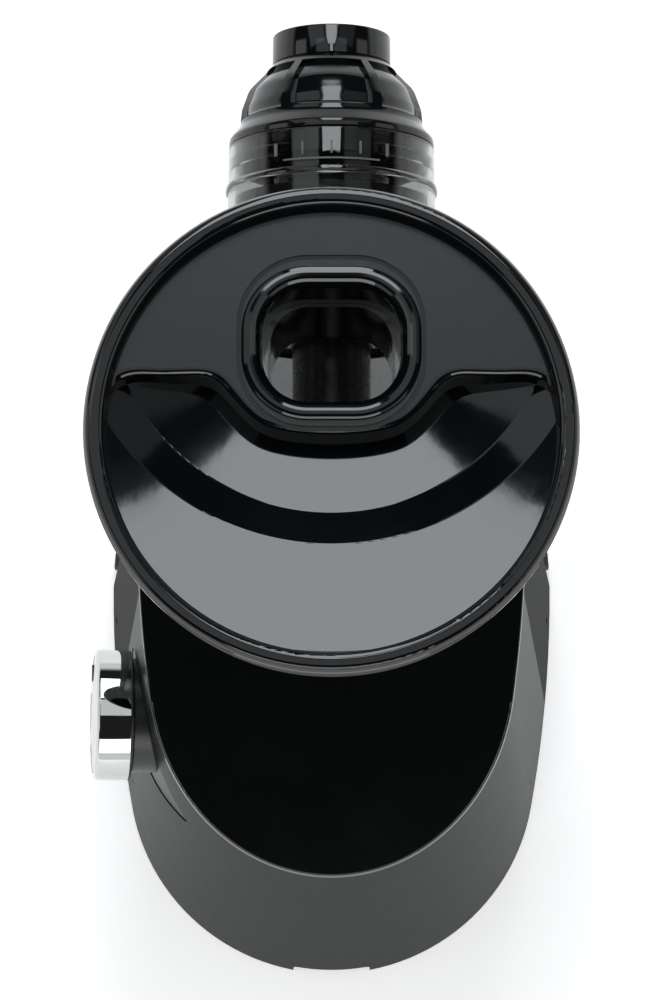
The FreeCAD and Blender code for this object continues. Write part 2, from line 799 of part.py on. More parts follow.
# output shaft with the hexagon that drives the auger
output_shaft = rod("output_shaft", S["output_shaft_r"], -33.6, -5.6, S["axis_z"])
sk = sketch(output_shaft, "XZ_Plane", 5.6)
hexr = N["hex_flat"] / math.sqrt(3.0)
outline(
    sk,
    [
        ("L", (hexr * math.cos(math.radians(60 * i)), hexr * math.sin(math.radians(60 * i))))
        for i in range(6)
    ],
)
pad(output_shaft, sk, 25.6, Reversed=True)
sk = sketch(output_shaft, "YZ_Plane")
loop(sk, [(17.0, 7.2), (21.0, 7.2), (21.0, 4.6)])
groove(output_shaft, sk)
# oil seal and bearings
output_bearings = new_body("output_bearings", 0.0, 0.0, S["axis_z"])
sk = sketch(output_bearings, "YZ_Plane")
rb0 = S["output_shaft_r"] + S["running_gap"]
loop(sk, [(-18.9, rb0), (-11.9, rb0), (-11.9, rb0 + 2.2, 0.4), (-12.5, rb0 + 2.4), (-12.5, 10.2), (-11.9, 10.4, 0.4), (-11.9, 13.0, 0.5), (-18.9, 13.0, 0.5)])
turn(output_bearings, sk)
shaft_seal = new_body("shaft_seal", 0.0, 0.0, S["axis_z"])
sk = sketch(shaft_seal, "YZ_Plane")
loop(sk, [(-11.6, 7.6), (-6.2, 7.2), (-6.2, 12.9, 0.6), (-11.6, 12.9)])
turn(shaft_seal, sk)


# gearbox: a tub round the gears, its cover, and four screws
def slot_shape(sk, r):
    za = S["axis_z"]
    top, low = (0.0, za), (0.0, 146.0)
    outline(
        sk,
        [
            ("L", (r, 146.0)),
            ("A", (r, za), top, r, True),
            ("A", (0.0, za + r), top, r, True),
            ("L", (-r, za)),
            ("A", (-r, 146.0), low, r, True),
            ("A", (0.0, 146.0 - r), low, r, True),
        ],
    )


EARS = [(-33.0, 178.0), (33.0, 178.0), (-33.0, 146.0), (33.0, 146.0)]
case = new_body("gearbox_case")
sk = sketch(case, "XZ_Plane", 49.8)
slot_shape(sk, S["case_r"])
pad(case, sk, 31.0, Reversed=True)
sk = sketch(case, "XZ_Plane", 49.8)
for ex, ez in EARS:
    circle(sk, ex, ez, 5.0)
pad(case, sk, 31.0, Reversed=True)
sk = sketch(case, "XZ_Plane", 46.0)
slot_shape(sk, S["case_r"] - S["case_wall"])
pocket(case, sk, 40.0)
doc.recompute()
sk = sketch(case, "XZ_Plane", 52.0)
circle(sk, 0.0, S["motor_z"], 8.2)
circle(sk, 0.0, S["idler_z"], 6.0)
pocket(case, sk, 8.0)
sk = sketch(case, "XZ_Plane", 40.0)
for ex, ez in EARS:
    circle(sk, ex, ez, 1.7)
pocket(case, sk, 40.0)

cover = new_body("gearbox_cover")
sk = sketch(cover, "XZ_Plane", 18.7)
slot_shape(sk, S["case_r"])
pad(cover, sk, 4.0, Reversed=True)
sk = sketch(cover, "XZ_Plane", 18.7)
for ex, ez in EARS:
    circle(sk, ex, ez, 5.0)
pad(cover, sk, 4.0, Reversed=True)
sk = sketch(cover, "XZ_Plane", 18.7)
circle(sk, 0.0, S["axis_z"], 16.0)
pad(cover, sk, 6.6, Reversed=True)
sk = sketch(cover, "XZ_Plane", 19.0)
circle(sk, 0.0, S["axis_z"], 13.02)
circle(sk, 0.0, S["idler_z"], 6.0)
for ex, ez in EARS:
    circle(sk, ex, ez, 1.9)
pocket(cover, sk, 12.0)

idler_bushes = []
for y0 in (-49.8, -18.7):
    b = cyl(6.0, 0, y0, 0, 4.0, (0, 1, 0)).cut(
        cyl(N["idler_shaft_r"] + N["running_gap"], 0, y0 - 1, 0, 8.0, (0, 1, 0))
    )
    idler_bushes.append(b)
from_shape("idler_bushes", Part.makeCompound(idler_bushes), at_axis(ZI))

gs = []
for ex, ez in EARS:
    shank = cyl(1.6, ex, -34.0, ez, 19.4, (0, 1, 0))
    head = cyl(3.2, ex, -14.7, ez, 2.4, (0, 1, 0))
    socket = Part.makePolygon(
        [
            Vector(ex + 1.5 * math.cos(math.radians(60 * i)), -13.7, ez + 1.5 * math.sin(math.radians(60 * i)))
            for i in range(7)
        ]
    )
    gs.append(
        head.fuse(shank).cut(Part.Face(socket).extrude(Vector(0, 3, 0))).removeSplitter()
    )
group("gearbox_screws", gs)

# ---------------------------------------------------------------- motor
motor_can = new_body("motor_can", 0.0, 0.0, S["motor_z"])
sk = sketch(motor_can, "YZ_Plane")
rm = S["motor_can_r"]
loop(sk, [(-120.0, rm - 1.6), (-120.0, rm), (-50.0, rm, 3.0), (-50.0, 8.0), (-52.0, 8.0), (-52.0, rm - 1.6, 1.5)])
turn(motor_can, sk)
# air slots in the can
sk = sketch(motor_can, "XY_Plane", -40.0)
for i in range(5):
    loop(sk, box2(-3.0 + 0.0, -112.0 + 12.0 * i, 3.0, -106.0 + 12.0 * i, 1.5))
pocket(motor_can, sk, 12.0, Reversed=True)

stator_core = new_body("stator_core", 0.0, 0.0, S["motor_z"])
sk = sketch(stator_core, "XZ_Plane", 108.0)
circle(sk, 0.0, 0.0, S["motor_can_r"] - 1.6)
circle(sk, 0.0, 0.0, 22.0)
pad(stator_core, sk, 40.0, Reversed=True)
sk = sketch(stator_core, "XZ_Plane", 108.0)
circle(sk, 0.0, 26.6, 2.1)
slotcut = pocket(stator_core, sk, 40.0)
polar(stator_core, [slotcut], 16)

windings = new_body("stator_windings", 0.0, 0.0, S["motor_z"])
sk = sketch(windings, "YZ_Plane")
loop(sk, box2(-115.0, 23.0, -108.2, 31.0, 3.0))
turn(windings, sk)
w2 = Part.makeTorus(27.0, 3.4, Vector(0, -62.5, 0), Vector(0, 1, 0))
windings2 = from_shape("stator_windings_front", w2, at_axis(ZM))
rotor = new_body("rotor_core", 0.0, 0.0, S["motor_z"])
sk = sketch(rotor, "YZ_Plane")
loop(sk, [(-110.0, S["motor_shaft_r"]), (-66.0, S["motor_shaft_r"]), (-66.0, 21.2, 0.8), (-110.0, 21.2, 0.8)])
turn(rotor, sk)
end_bell = new_body("motor_end_bell", 0.0, 0.0, S["motor_z"])
sk = sketch(end_bell, "YZ_Plane")
rbm = S["motor_shaft_r"] + S["running_gap"]
loop(sk, [(-124.0, rbm), (-117.0, rbm), (-117.0, 9.0, 1.0), (-121.0, 10.0), (-121.0, 22.0), (-119.9, 24.0), (-119.9, rm - 1.8), (-122.6, rm - 1.8, 1.0), (-124.0, 20.0), (-124.0, 8.0)])
turn(end_bell, sk)
front_bush = new_body("motor_front_bush", 0.0, 0.0, S["motor_z"])
sk = sketch(front_bush, "YZ_Plane")
loop(sk, [(-54.0, rbm), (-47.0, rbm), (-47.0, 7.9), (-54.0, 7.9)])
turn(front_bush, sk)

fan = new_body("cooling_fan", 0.0, 0.0, S["motor_z"])
sk = sketch(fan, "YZ_Plane")
loop(sk, [(-140.0, S["motor_shaft_r"]), (-126.0, S["motor_shaft_r"]), (-126.0, 8.0, 1.0), (-137.6, 8.6, 2.0), (-138.0, 28.0, 0.5), (-140.0, 28.0, 0.5)])
turn(fan, sk)
sk = sketch(fan, "XZ_Plane", 138.6)
loop(sk, [(-0.9, 7.0), (0.9, 7.0), (4.2, 27.0), (2.4, 27.0)])
blade = pad(fan, sk, 10.0, Reversed=True)
polar(fan, [blade], 12)

# cradle between the motor and the base plate
cradle = new_body("motor_cradle")
sk = sketch(cradle, "XZ_Plane", 110.0)
loop(sk, [(-44.0, 6.0), (44.0, 6.0), (44.0, 12.0), (33.0, 116.0), (-33.0, 116.0), (-44.0, 12.0)])
pad(cradle, sk, 48.0, Reversed=True)
sk = sketch(cradle, "XZ_Plane", 110.0)
circle(sk, 0.0, S["motor_z"], S["motor_can_r"])
pocket(cradle, sk, 60.0)
doc.recompute()
sk = sketch(cradle, "XZ_Plane", 112.0)
loop(sk, [(-38.0, 5.0), (38.0, 5.0), (27.0, 88.0, 8.0), (-27.0, 88.0, 8.0)])
pocket(cradle, sk, 60.0)
sk = sketch(cradle, "YZ_Plane")
loop(sk, box2(-104.0, 14.0, -68.0, 92.0, 6.0))
pocket(cradle, sk, 200.0, SideType="Symmetric")

# ---------------------------------------------------------------- drum
drum = new_body("juicing_drum", 0.0, 0.0, S["axis_z"])
ro, ri = S["drum_outer_r"], S["drum_inner_r"]
db, df = S["drum_back_y"], S["drum_front_y"]
sk = sketch(drum, "YZ_Plane")
loop(
    sk,
    [
        (db, 0.0),
        (df, 0.0),
        (df, ro - 0.2, 0.5),
        (df - 16.6, ro - 0.2),
        (df - 17.0, ro + 0.9, 0.4),
        (df - 19.4, ro + 0.9, 0.4),
        (df - 19.8, ro),
        (db, ro),
    ],
)
turn(drum, sk)
sk = sketch(drum, "XY_Plane", 12.0)
fy = S["feed_y"]
fx2, fy2 = S["feed_outer_x"] / 2.0, S["feed_outer_y"] / 2.0
loop(sk, [(-fx2, fy - fy2, 19.0), (fx2, fy - fy2, 19.0), (fx2, fy + fy2, 19.0), (-fx2, fy + fy2, 19.0)])
pad(drum, sk, S["feed_top"] - 12.0)
sk = sketch(drum, "XZ_Plane", 5.0)
for a in (0, 90, 180, 270):
    sector(sk, 42.0, S["lug_r"], a, 14.0)
pad(drum, sk, 3.6, Reversed=True)
# bore with the groove that takes the end cap's lugs
sk = sketch(drum, "YZ_Plane")
loop(
    sk,
    [
        (db + 3.0, 0.0),
        (df + 1.0, 0.0),
        (df + 1.0, ri + 0.2),
        (df - 5.8, ri + 0.2),
        (df - 6.0, ri + 1.7),
        (df - 10.4, ri + 1.7),
        (df - 10.6, ri),
        (db + 3.0, ri, 2.0),
    ],
)
groove(drum, sk)
sk = sketch(drum, "XZ_Plane", -df)
for a in (90, 210, 330):
    sector(sk, 40.0, ri + 1.7, a, 15.0)
pocket(drum, sk, 8.0, Reversed=True)
doc.recompute()
# feed tube bore, drive hole, spout bore
sk = sketch(drum, "XY_Plane", 20.0)
gx2, gy2 = S["feed_inner_x"] / 2.0, S["feed_inner_y"] / 2.0
loop(sk, [(-gx2, fy - gy2, 16.0), (gx2, fy - gy2, 16.0), (gx2, fy + gy2, 16.0), (-gx2, fy + gy2, 16.0)])
pocket(drum, sk, 90.0, Reversed=True)
sk = sketch(drum, "XZ_Plane", 6.0)
circle(sk, 0.0, 0.0, 12.0)
pocket(drum, sk, 6.0)
sk = sketch(drum, "XY_Plane", -70.0)
circle(sk, 0.0, S["spout_y"], S["spout_bore_r"])
pocket(drum, sk, 36.0, Reversed=True)

# juice spout, bonded under the drum over its outlet hole
spout = new_body("juice_spout", 0.0, 0.0, S["axis_z"])
sk = sketch(spout, "XY_Plane", -S["spout_drop"])
circle(sk, 0.0, S["spout_y"], S["spout_outer_r"])
pad(spout, sk, 30.0)
sk = sketch(spout, "YZ_Plane")
loop(sk, [(40.0, 0.0), (120.0, 0.0), (120.0, ro + 0.02), (40.0, ro + 0.02)])
groove(spout, sk)
sk = sketch(spout, "XY_Plane", -70.0)
circle(sk, 0.0, S["spout_y"], S["spout_bore_r"])
pocket(spout, sk, 60.0, Reversed=True)

drum_seal = new_body("drum_rear_seal", 0.0, 0.0, S["axis_z"])
sk = sketch(drum_seal, "YZ_Plane")
loop(sk, [(-4.8, 11.95), (-1.2, 11.95), (-1.2, 13.6), (-1.95, 13.6), (-1.95, 15.0, 0.4), (-0.4, 15.0, 0.5), (-0.4, 10.6, 0.5), (-4.8, 10.9)])
turn(drum_seal, sk)

# grip bars round the mouth and the generic turning marks of the drum
ticks = []
for k in range(5):
    a = math.radians(-32 + 16 * k)
    wdt = 0.45 if k not in (0, 4) else 0.7
    bar = Part.makeBox(2 * wdt, 5.4, 0.8, Vector(-wdt, 129.0, 43.5))
    bar.rotate(Vector(0, 0, 0), Vector(0, 1, 0), math.degrees(a))
    ticks.append(bar)
rib = Part.makeCylinder(44.25, 0.7, Vector(0, 126.6, 0), Vector(0, 1, 0)).cut(
    Part.makeCylinder(43.55, 3, Vector(0, 125, 0), Vector(0, 1, 0))
)
wedge = Part.Face(
    Part.makePolygon(
        [Vector(0, 126, 0), Vector(-31, 126, 60), Vector(31, 126, 60), Vector(0, 126, 0)]
    )
).extrude(Vector(0, 3, 0))
ticks.append(rib.common(wedge))
from_shape("drum_scale_marks", Part.makeCompound([t.cut(Part.makeCylinder(43.8, 20, Vector(0, 122, 0), Vector(0, 1, 0))) for t in ticks]), at_axis(ZA))

# ---------------------------------------------------------------- screen
frame = new_body("screen_frame", 0.0, 0.0, S["axis_z"])
rs, rmo = S["screen_frame_r"], S["screen_mesh_outer_r"]
sk = sketch(frame, "YZ_Plane")
loop(sk, [(S["screen_back_y"], rmo), (S["screen_back_y"] + 4.0, rmo), (S["screen_back_y"] + 4.0, rs, 0.5), (S["screen_back_y"], rs, 0.5)])
turn(frame, sk)
sk = sketch(frame, "YZ_Plane")
loop(sk, [(S["screen_front_y"] - 5.0, rmo), (S["screen_front_y"], rmo), (S["screen_front_y"], rs, 0.5), (S["screen_front_y"] - 5.0, rs, 0.5)])
turn(frame, sk)
sk = sketch(frame, "YZ_Plane")
loop(sk, [(86.5, rmo), (89.5, rmo), (89.5, rs, 0.4), (86.5, rs, 0.4)])
turn(frame, sk)
sk = sketch(frame, "XZ_Plane", -(S["screen_back_y"] + 1.0))
for i in range(8):
    sector(sk, 38.4, 40.55, 22.5 + 45 * i, 2.6)
pad(frame, sk, S["screen_front_y"] - S["screen_back_y"] - 2.0, Reversed=True)

mesh = new_body("screen_mesh", 0.0, 0.0, S["axis_z"])
sk = sketch(mesh, "XZ_Plane", -(S["screen_back_y"] + 0.5))
circle(sk, 0.0, 0.0, rmo)
circle(sk, 0.0, 0.0, S["screen_mesh_inner_r"])
pad(mesh, sk, S["screen_front_y"] - S["screen_back_y"] - 1.0, Reversed=True)

# ---------------------------------------------------------------- auger
def helix_flight(pitch, y0, turns, r_in, r_out, root, tip, start_deg):
    """Left-handed flight of a screw about +Y, tapering to its tip."""
    path = Part.makeHelix(pitch, pitch * turns, (r_in + r_out) / 2.0, 0, True)
    mid = (r_in + r_out) / 2.0
    pts = [
        Vector(r_in, 0, -root / 2.0),
        Vector(r_out, 0, -tip / 2.0),
        Vector(r_out, 0, tip / 2.0),
        Vector(r_in, 0, root / 2.0),
    ]
    prof = Part.makePolygon(pts + [pts[0]])
    solid = Part.Wire(path.Edges).makePipeShell([prof], True, True)
    solid.rotate(Vector(0, 0, 0), Vector(0, 0, 1), start_deg)
    solid.rotate(Vector(0, 0, 0), Vector(1, 0, 0), -90)
    solid.translate(Vector(0, y0, 0))
    return solid


def turned(pts):
    """Solid of revolution about Y of a closed (y, r) outline."""
    w = Part.makePolygon([Vector(0, y, r) for y, r in pts + [pts[0]]])
    return Part.Face(w).revolve(Vector(0, 0, 0), Vector(0, 1, 0), 360)


def hex_prism(flat, y0, length):
    r = flat / math.sqrt(3.0)
    w = Part.makePolygon(
        [Vector(r * math.cos(math.radians(60 * i)), y0, r * math.sin(math.radians(60 * i))) for i in range(7)]
    )
    return Part.Face(w).extrude(Vector(0, length, 0))


ca = N["auger_core_r"]
core = turned(
    [(0.6, 0.0), (0.6, 15.0), (2.0, ca), (58.0, ca), (66.0, ca + 6.5), (123.0, ca + 6.5), (127.0, ca + 8.0), (131.0, ca + 8.0), (144.0, ca - 1.0), (152.0, 9.0), (155.0, 5.0), (155.5, 0.0)]
)
ra_ = N["auger_r"]
f1 = helix_flight(N["auger_pitch_feed"], 7.0, 1.9, ca - 1.5, ra_, 8.0, 3.6, 0.0)
f2 = helix_flight(N["auger_pitch_press"], 70.0, 2.9, ca + 4.0, ra_ - 0.1, 5.0, 3.0, 35.0)
back = turned([(2.6, 10.0), (2.6, ra_ - 0.6), (5.4, ra_ - 0.6), (6.6, ra_ - 2.5), (8.0, 12.0)])
auger = core.fuse(back).fuse(f1).fuse(f2).removeSplitter()
auger = auger.cut(hex_prism(N["hex_flat"] + 0.3, -1.0, 22.4))
auger = auger.cut(turned([(-1.0, 0.0), (-1.0, 10.2), (3.6, 10.2), (4.0, 0.0)]))
from_shape("auger", auger, at_axis(ZA))

# ---------------------------------------------------------------- end cap
cap = new_body("end_cap", 0.0, 0.0, S["axis_z"])
rc = S["cap_ring_r"]
cy0 = df + 0.35
CAP = [
    (cy0, rc, 0.6),
    (cy0 + 3.2, rc, 2.0),
    (cy0 + 8.6, 38.9, 5.0),
    (cy0 + 16.5, 38.2, 10.0),
    (cy0 + 25.5, 35.0, 9.0),
    (cy0 + 33.2, 27.6, 4.0),
    (cy0 + 36.2, 25.0, 0.5),
    (cy0 + 36.2, 20.6),
]
sk = sketch(cap, "YZ_Plane")
loop(sk, [(cy0, 20.6)] + CAP)
turn(cap, sk)
sk = sketch(cap, "YZ_Plane")
rk = S["cap_rib_depth"]
loop(
    sk,
    [
        (cy0 + 10.8, 38.6 - rk, 2.6),
        (cy0 + 16.5, 38.1 - rk, 10.0),
        (cy0 + 25.0, 35.0 - rk, 9.0),
        (cy0 + 32.0, 28.2 - rk),
        (cy0 + 38.0, 33.0),
        (cy0 + 38.0, 46.0),
        (cy0 + 10.8, 46.0),
    ],
)
grip = groove(cap, sk, angle=53.0, Midplane=True)
pat = polar(cap, [grip], 6)
doc.recompute()
# skirt that enters the drum, hollow inside, with three lugs
sk = sketch(cap, "YZ_Plane")
loop(sk, [(df - 9.4, 37.6), (cy0 + 1.0, 37.6), (cy0 + 1.0, 40.5), (df - 9.4, 40.5, 0.5)])
turn(cap, sk)
sk = sketch(cap, "XZ_Plane", -(df - 9.6))
for a in (0, 120, 240):
    sector(sk, 39.0, 42.2, a, 12.0)
pad(cap, sk, 3.2, Reversed=True)
sk = sketch(cap, "YZ_Plane")
loop(
    sk,
    [
        (df - 12.0, 0.0),
        (cy0 + 20.0, 0.0),
        (cy0 + 20.0, 17.5),
        (cy0 + 15.5, 19.0, 2.0),
        (cy0 + 3.0, 35.8, 3.0),
        (df - 4.0, 37.7),
        (df - 12.0, 37.7),
    ],
)
groove(cap, sk)
# bore for the nozzle neck with its retaining groove
sk = sketch(cap, "YZ_Plane")
loop(
    sk,
    [
        (cy0 + 18.0, 0.0),
        (cy0 + 40.0, 0.0),
        (cy0 + 40.0, 20.6),
        (cy0 + 29.2, 20.6),
        (cy0 + 29.2, 22.0),
        (cy0 + 26.4, 22.0),
        (cy0 + 26.4, 20.6),
        (cy0 + 20.6, 20.6),
        (cy0 + 20.6, 17.0),
        (cy0 + 18.0, 17.0),
    ],
)
groove(cap, sk)

nozzle = new_body("pulp_nozzle", 0.0, 0.0, S["axis_z"])
ne, nr, nb = S["nozzle_end_y"], S["nozzle_r"], S["nozzle_bore_r"]
sk = sketch(nozzle, "YZ_Plane")
loop(
    sk,
    [
        (ne, nb + 1.2, 1.2),
        (ne, nr, 0.8),
        (ne - 12.6, nr, 0.4),
        (ne - 12.6, 20.1),
        (ne - 20.6, 20.1),
        (ne - 20.6, 21.3, 0.3),
        (ne - 22.4, 21.3, 0.3),
        (ne - 22.4, 20.1),
        (ne - 26.2, 20.1, 0.6),
        (ne - 26.2, nb + 2.6, 0.8),
        (ne - 20.0, nb),
        (ne - 3.0, nb),
    ],
)
turn(nozzle, sk)
sk = sketch(nozzle, "XZ_Plane", -(ne - 12.4))
loop(sk, [(-1.5, nr - 1.0), (1.5, nr - 1.0), (0.9, nr + 1.1, 0.4), (-0.9, nr + 1.1, 0.4)])
pad(nozzle, sk, 3.4, Reversed=True)

# ---------------------------------------------------------------- feed tray
TY = N["tray_y"]


def edges_of(elems):
    """Edges in the XY plane of an outline() element list."""
    out = []
    n = len(elems)
    for i, e in enumerate(elems):
        p, q = e[1], elems[(i + 1) % n][1]
        a, b = Vector(val(p[0]), val(p[1]), 0), Vector(val(q[0]), val(q[1]), 0)
        if (a - b).Length < 1e-7:
            continue
        if e[0] == "L":
            out.append(Part.LineSegment(a, b).toShape())
        else:
            c, r = Vector(val(e[2][0]), val(e[2][1]), 0), val(e[3])
            m = ((a + b) * 0.5 - c)
            m.normalize()
            out.append(Part.Arc(a, c + m * r, b).toShape())
    return out


def ring_of(pts, cx, cy):
    """Solid of revolution about the vertical line through (cx, cy) of a
    (radius, height) outline with rounded corners."""
    w = Part.Wire(edges_of(rounded(pts)))
    f = Part.Face(w)
    f.rotate(Vector(0, 0, 0), Vector(1, 0, 0), 90)
    f.translate(Vector(cx, cy, 0))
    return f.revolve(Vector(cx, cy, 0), Vector(0, 0, 1), 360)


def rrect(cx, cy, wx, wy, r, z0, z1):
    pts = box2(cx - wx / 2.0, cy - wy / 2.0, cx + wx / 2.0, cy + wy / 2.0, r)
    f = Part.Face(Part.Wire(edges_of(rounded(pts))))
    f.translate(Vector(0, 0, z0))
    return f.extrude(Vector(0, 0, z1 - z0))


def scoop_wire(z, off):
    """Plan outline of the scoop at height z: the rim's arc behind, the soft
    edge of the shelf in front. off moves it outwards."""
    fall = (N["tray_shelf_z"] - z) / 38.0
    rr = N["tray_rim_inner_r"] - 6.6 * fall + off
    ye = 9.0 - 5.0 * fall + off * 0.3
    xe = math.sqrt(rr * rr - (ye - TY) ** 2)
    dy = off - 5.0 * fall
    half = [
        (xe, ye),
        (xe - 2.6, ye + 3.6 + off * 0.4),
        (xe - 7.5, 15.0 + dy),
        (72.0, 15.6 + dy),
        (57.0, 15.8 + dy),
        (50.0 - off * 0.3, 15.3 + dy),
        (45.6 - off * 0.7, 13.0 + dy),
        (41.0 - off * 0.7, 8.0 + dy),
        (36.0 - off * 0.5, 2.3 + dy),
        (29.0 - off * 0.2, -3.7 + dy),
        (18.0, -7.2 + dy),
        (0.0, -8.5 + dy),
    ]
    pts = [Vector(x, y, z) for x, y in half] + [Vector(-x, y, z) for x, y in reversed(half[:-1])]
    front = Part.BSplineCurve()
    front.interpolate(pts)
    back = Part.Arc(pts[-1], Vector(0, TY - rr, z), pts[0])
    return Part.Wire([front.toShape(), back.toShape()])


def scoop_solid(off, drop, top):
    body = Part.makeLoft([scoop_wire(280.0, off), scoop_wire(330.0, off)], True, True)
    z0 = 270.0
    floor = [
        (0.0, 294.0 - drop),
        (91.4, 313.4 - drop, 3.0),
        (106.1, 320.8 - drop, 2.5),
        (172.0, 334.2 - drop),
        (172.0, top),
        (0.0, top),
    ]
    return body.common(ring_of(floor, 0.0, N["scoop_axis_y"]))


rim = ring_of(
    [
        (88.0, 319.5),
        (97.9, 319.5),
        (97.4, N["tray_skirt_z"]),
        (99.2, N["tray_skirt_z"], 0.5),
        (N["tray_r"], 326.0, 0.6),
        (99.1, 326.9),
        (99.1, 327.9),
        (99.9, 328.3, 0.6),
        (98.4, N["tray_top"], 2.2),
        (92.3, N["tray_top"], 2.8),
        (N["tray_rim_inner_r"], 325.2, 1.2),
        (N["tray_rim_inner_r"] - 0.5, 321.0),
        (88.0, 321.0),
    ],
    0.0,
    TY,
)
shelf = Part.makeCylinder(N["tray_rim_inner_r"] + 0.4, 2.5, Vector(0, TY, 319.5))
FYV = N["feed_y"]
below = Part.makeBox(400, 400, 60.5, Vector(-200, -200, 260))
bowl = scoop_solid(N["tray_wall"], 2.8, 340.0).common(below)
SY = N["scoop_axis_y"]
far_ring = Part.makeCylinder(200, 20, Vector(0, SY, 312)).cut(Part.makeCylinder(100, 30, Vector(0, SY, 310)))
ramp = scoop_solid(N["tray_wall"], 2.8, 340.0).common(far_ring)
upper = rrect(0, FYV, N["chute_x"] + 5.4, N["chute_y"] + 5.4, 21.0, 288.0, 320.5)
lower = rrect(0, FYV, N["socket_x"] + 5.0, N["socket_y"] + 5.0, 21.6, N["socket_low_z"], N["socket_step_z"] + 2.6)


def rrect_wire(grow, z):
    pts = box2(
        -N["chute_x"] / 2.0 - grow,
        FYV - N["chute_y"] / 2.0 - grow,
        N["chute_x"] / 2.0 + grow,
        FYV + N["chute_y"] / 2.0 + grow,
        18.5 + grow,
    )
    w = Part.Wire(edges_of(rounded(pts)))
    w.translate(Vector(0, 0, z))
    return w


# raised collar round the chute: a rounded ring between a groove and the mouth
OUTER = [(8.4, 321.0), (8.4, 322.4), (8.1, 323.3), (7.4, 324.0), (6.3, 324.4), (5.0, 324.5)]
collar = [
    Part.makeLoft([rrect_wire(g0, a0), rrect_wire(g1, a1)], True, True)
    for (g0, a0), (g1, a1) in zip(OUTER[:-1], OUTER[1:])
]
tray = rim.fuse([shelf, bowl, ramp, upper, lower] + collar)
tray = tray.cut(scoop_solid(0.0, 0.0, 340.0))
tray = tray.cut(rrect(0, FYV, N["chute_x"], N["chute_y"], 18.5, N["socket_step_z"] - 0.2, 330.0))
tray = tray.cut(rrect(0, FYV, N["socket_x"], N["socket_y"], 19.2, N["socket_low_z"] - 1.0, N["socket_step_z"]))
tray = tray.cut(
    rrect(0, FYV, 76.8, 72.8, 28.9, 321.0, 325.0).cut(rrect(0, FYV, 72.8, 68.8, 26.9, 320.0, 326.0))
)
tray = tray.removeSplitter()

# mouth of the chute and soft edge of the shelf, in short steps of an arc
MOUTH = [(0.0, 317.5), (0.35, 319.4), (0.9, 321.0), (1.7, 322.4), (2.7, 323.5), (3.8, 324.2), (5.0, 324.51), (6.0, 326.0)]
for (g0, a0), (g1, a1) in zip(MOUTH[:-1], MOUTH[1:]):
    tray = tray.cut(Part.makeLoft([rrect_wire(g0, a0), rrect_wire(g1, a1)], True, True))
SOFT = [(0.0, 2.6), (0.14, 1.85), (0.42, 1.15), (0.95, 0.5), (1.65, 0.14), (2.6, -0.01)]
near_disc = Part.makeCylinder(100.0, 20, Vector(0, SY, 315))
for (g0, d0), (g1, d1) in zip(SOFT[:-1], SOFT[1:]):
    lo = scoop_wire(N["tray_shelf_z"] - d0, g0)
    hi = scoop_wire(N["tray_shelf_z"] - d1, g1)
    step = Part.makeLoft([lo, hi], True, True)
    tray = tray.cut(step.common(Part.makeCylinder(N["tray_rim_inner_r"] - 1.0, 20, Vector(0, TY, 315))).common(near_disc))
from_shape("feed_tray", tray)

# ---------------------------------------------------------------- controls
tilt = math.radians(N["knob_tilt"])
ku = Vector(-math.cos(tilt), 0, math.sin(tilt))
krot = Rotation(Vector(0, 0, 1), ku)
KX, KY, KZ = S["knob_x"], S["knob_y"], S["knob_z"]
kplace = Placement(Vector(N["knob_x"], N["knob_y"], N["knob_z"]), krot)

knob = new_body("control_knob", KX, KY, KZ, krot)
sk = sketch(knob, "XZ_Plane")
kr, kl = S["knob_r"], S["knob_len"]
loop(
    sk,
    [
        (3.0, 2.0),
        (10.0, 2.0),
        (10.0, 8.0),
        (24.5, 8.0),
        (24.5, 0.4),
        (kr - 0.9, 0.0, 0.3),
        (kr, 1.2, 0.6),
        (kr, kl - 1.6, 1.2),
        (kr - 1.5, kl - 0.4, 0.6),
        (24.8, kl - 0.4),
        (24.8, kl - 2.0),
        (3.0, kl - 2.0),
    ],
)
turn(knob, sk, axis="V_Axis")
knob_cap = new_body("knob_face", KX, KY, KZ, krot)
sk = sketch(knob_cap, "XZ_Plane")
outline(
    sk,
    [
        ("L", (0.0, kl - 2.0)),
        ("L", (24.6, kl - 2.0)),
        ("A", (24.6, kl - 0.7), (0.0, kl - 0.7 + 0.9 - (24.6 ** 2 + 0.9 ** 2) / 1.8), (24.6 ** 2 + 0.9 ** 2) / 1.8, True),
        ("L", (0.0, kl + 0.2)),
    ],
)
turn(knob_cap, sk, axis="V_Axis")
mark = Part.makeBox(1.8, 7.0, 1.0, Vector(-0.9, 14.5, N["knob_len"] - 0.6))
mark = mark.makeFillet(0.3, [e for e in mark.Edges if e.BoundBox.ZMin > N["knob_len"] + 0.35 or e.BoundBox.ZLength > 0.5])
crown = (24.6 ** 2 + 0.9 ** 2) / 1.8
face_form = Part.makeSphere(crown + 0.02, Vector(0, 0, N["knob_len"] + 0.2 - crown))
from_shape("knob_pointer", mark.cut(face_form), kplace)
stem = new_body("switch_shaft", KX, KY, KZ, krot)
sk = sketch(stem, "XY_Plane", -24.0)
circle(sk, 0.0, 0.0, 3.0)
pad(stem, sk, 36.0)
sw = Part.makeBox(26, 26, 12, Vector(-13, -13, -26)).fuse(Part.makeCylinder(5.0, 11.0, Vector(0, 0, -14.5)))
sw = sw.cut(Part.makeCylinder(3.05, 30, Vector(0, 0, -25)))
for k in range(4):
    sw = sw.fuse(Part.makeBox(0.8, 4.0, 7.0, Vector(-10 + 6 * k, -2, -33)))
from_shape("rotary_switch", sw.removeSplitter(), kplace)

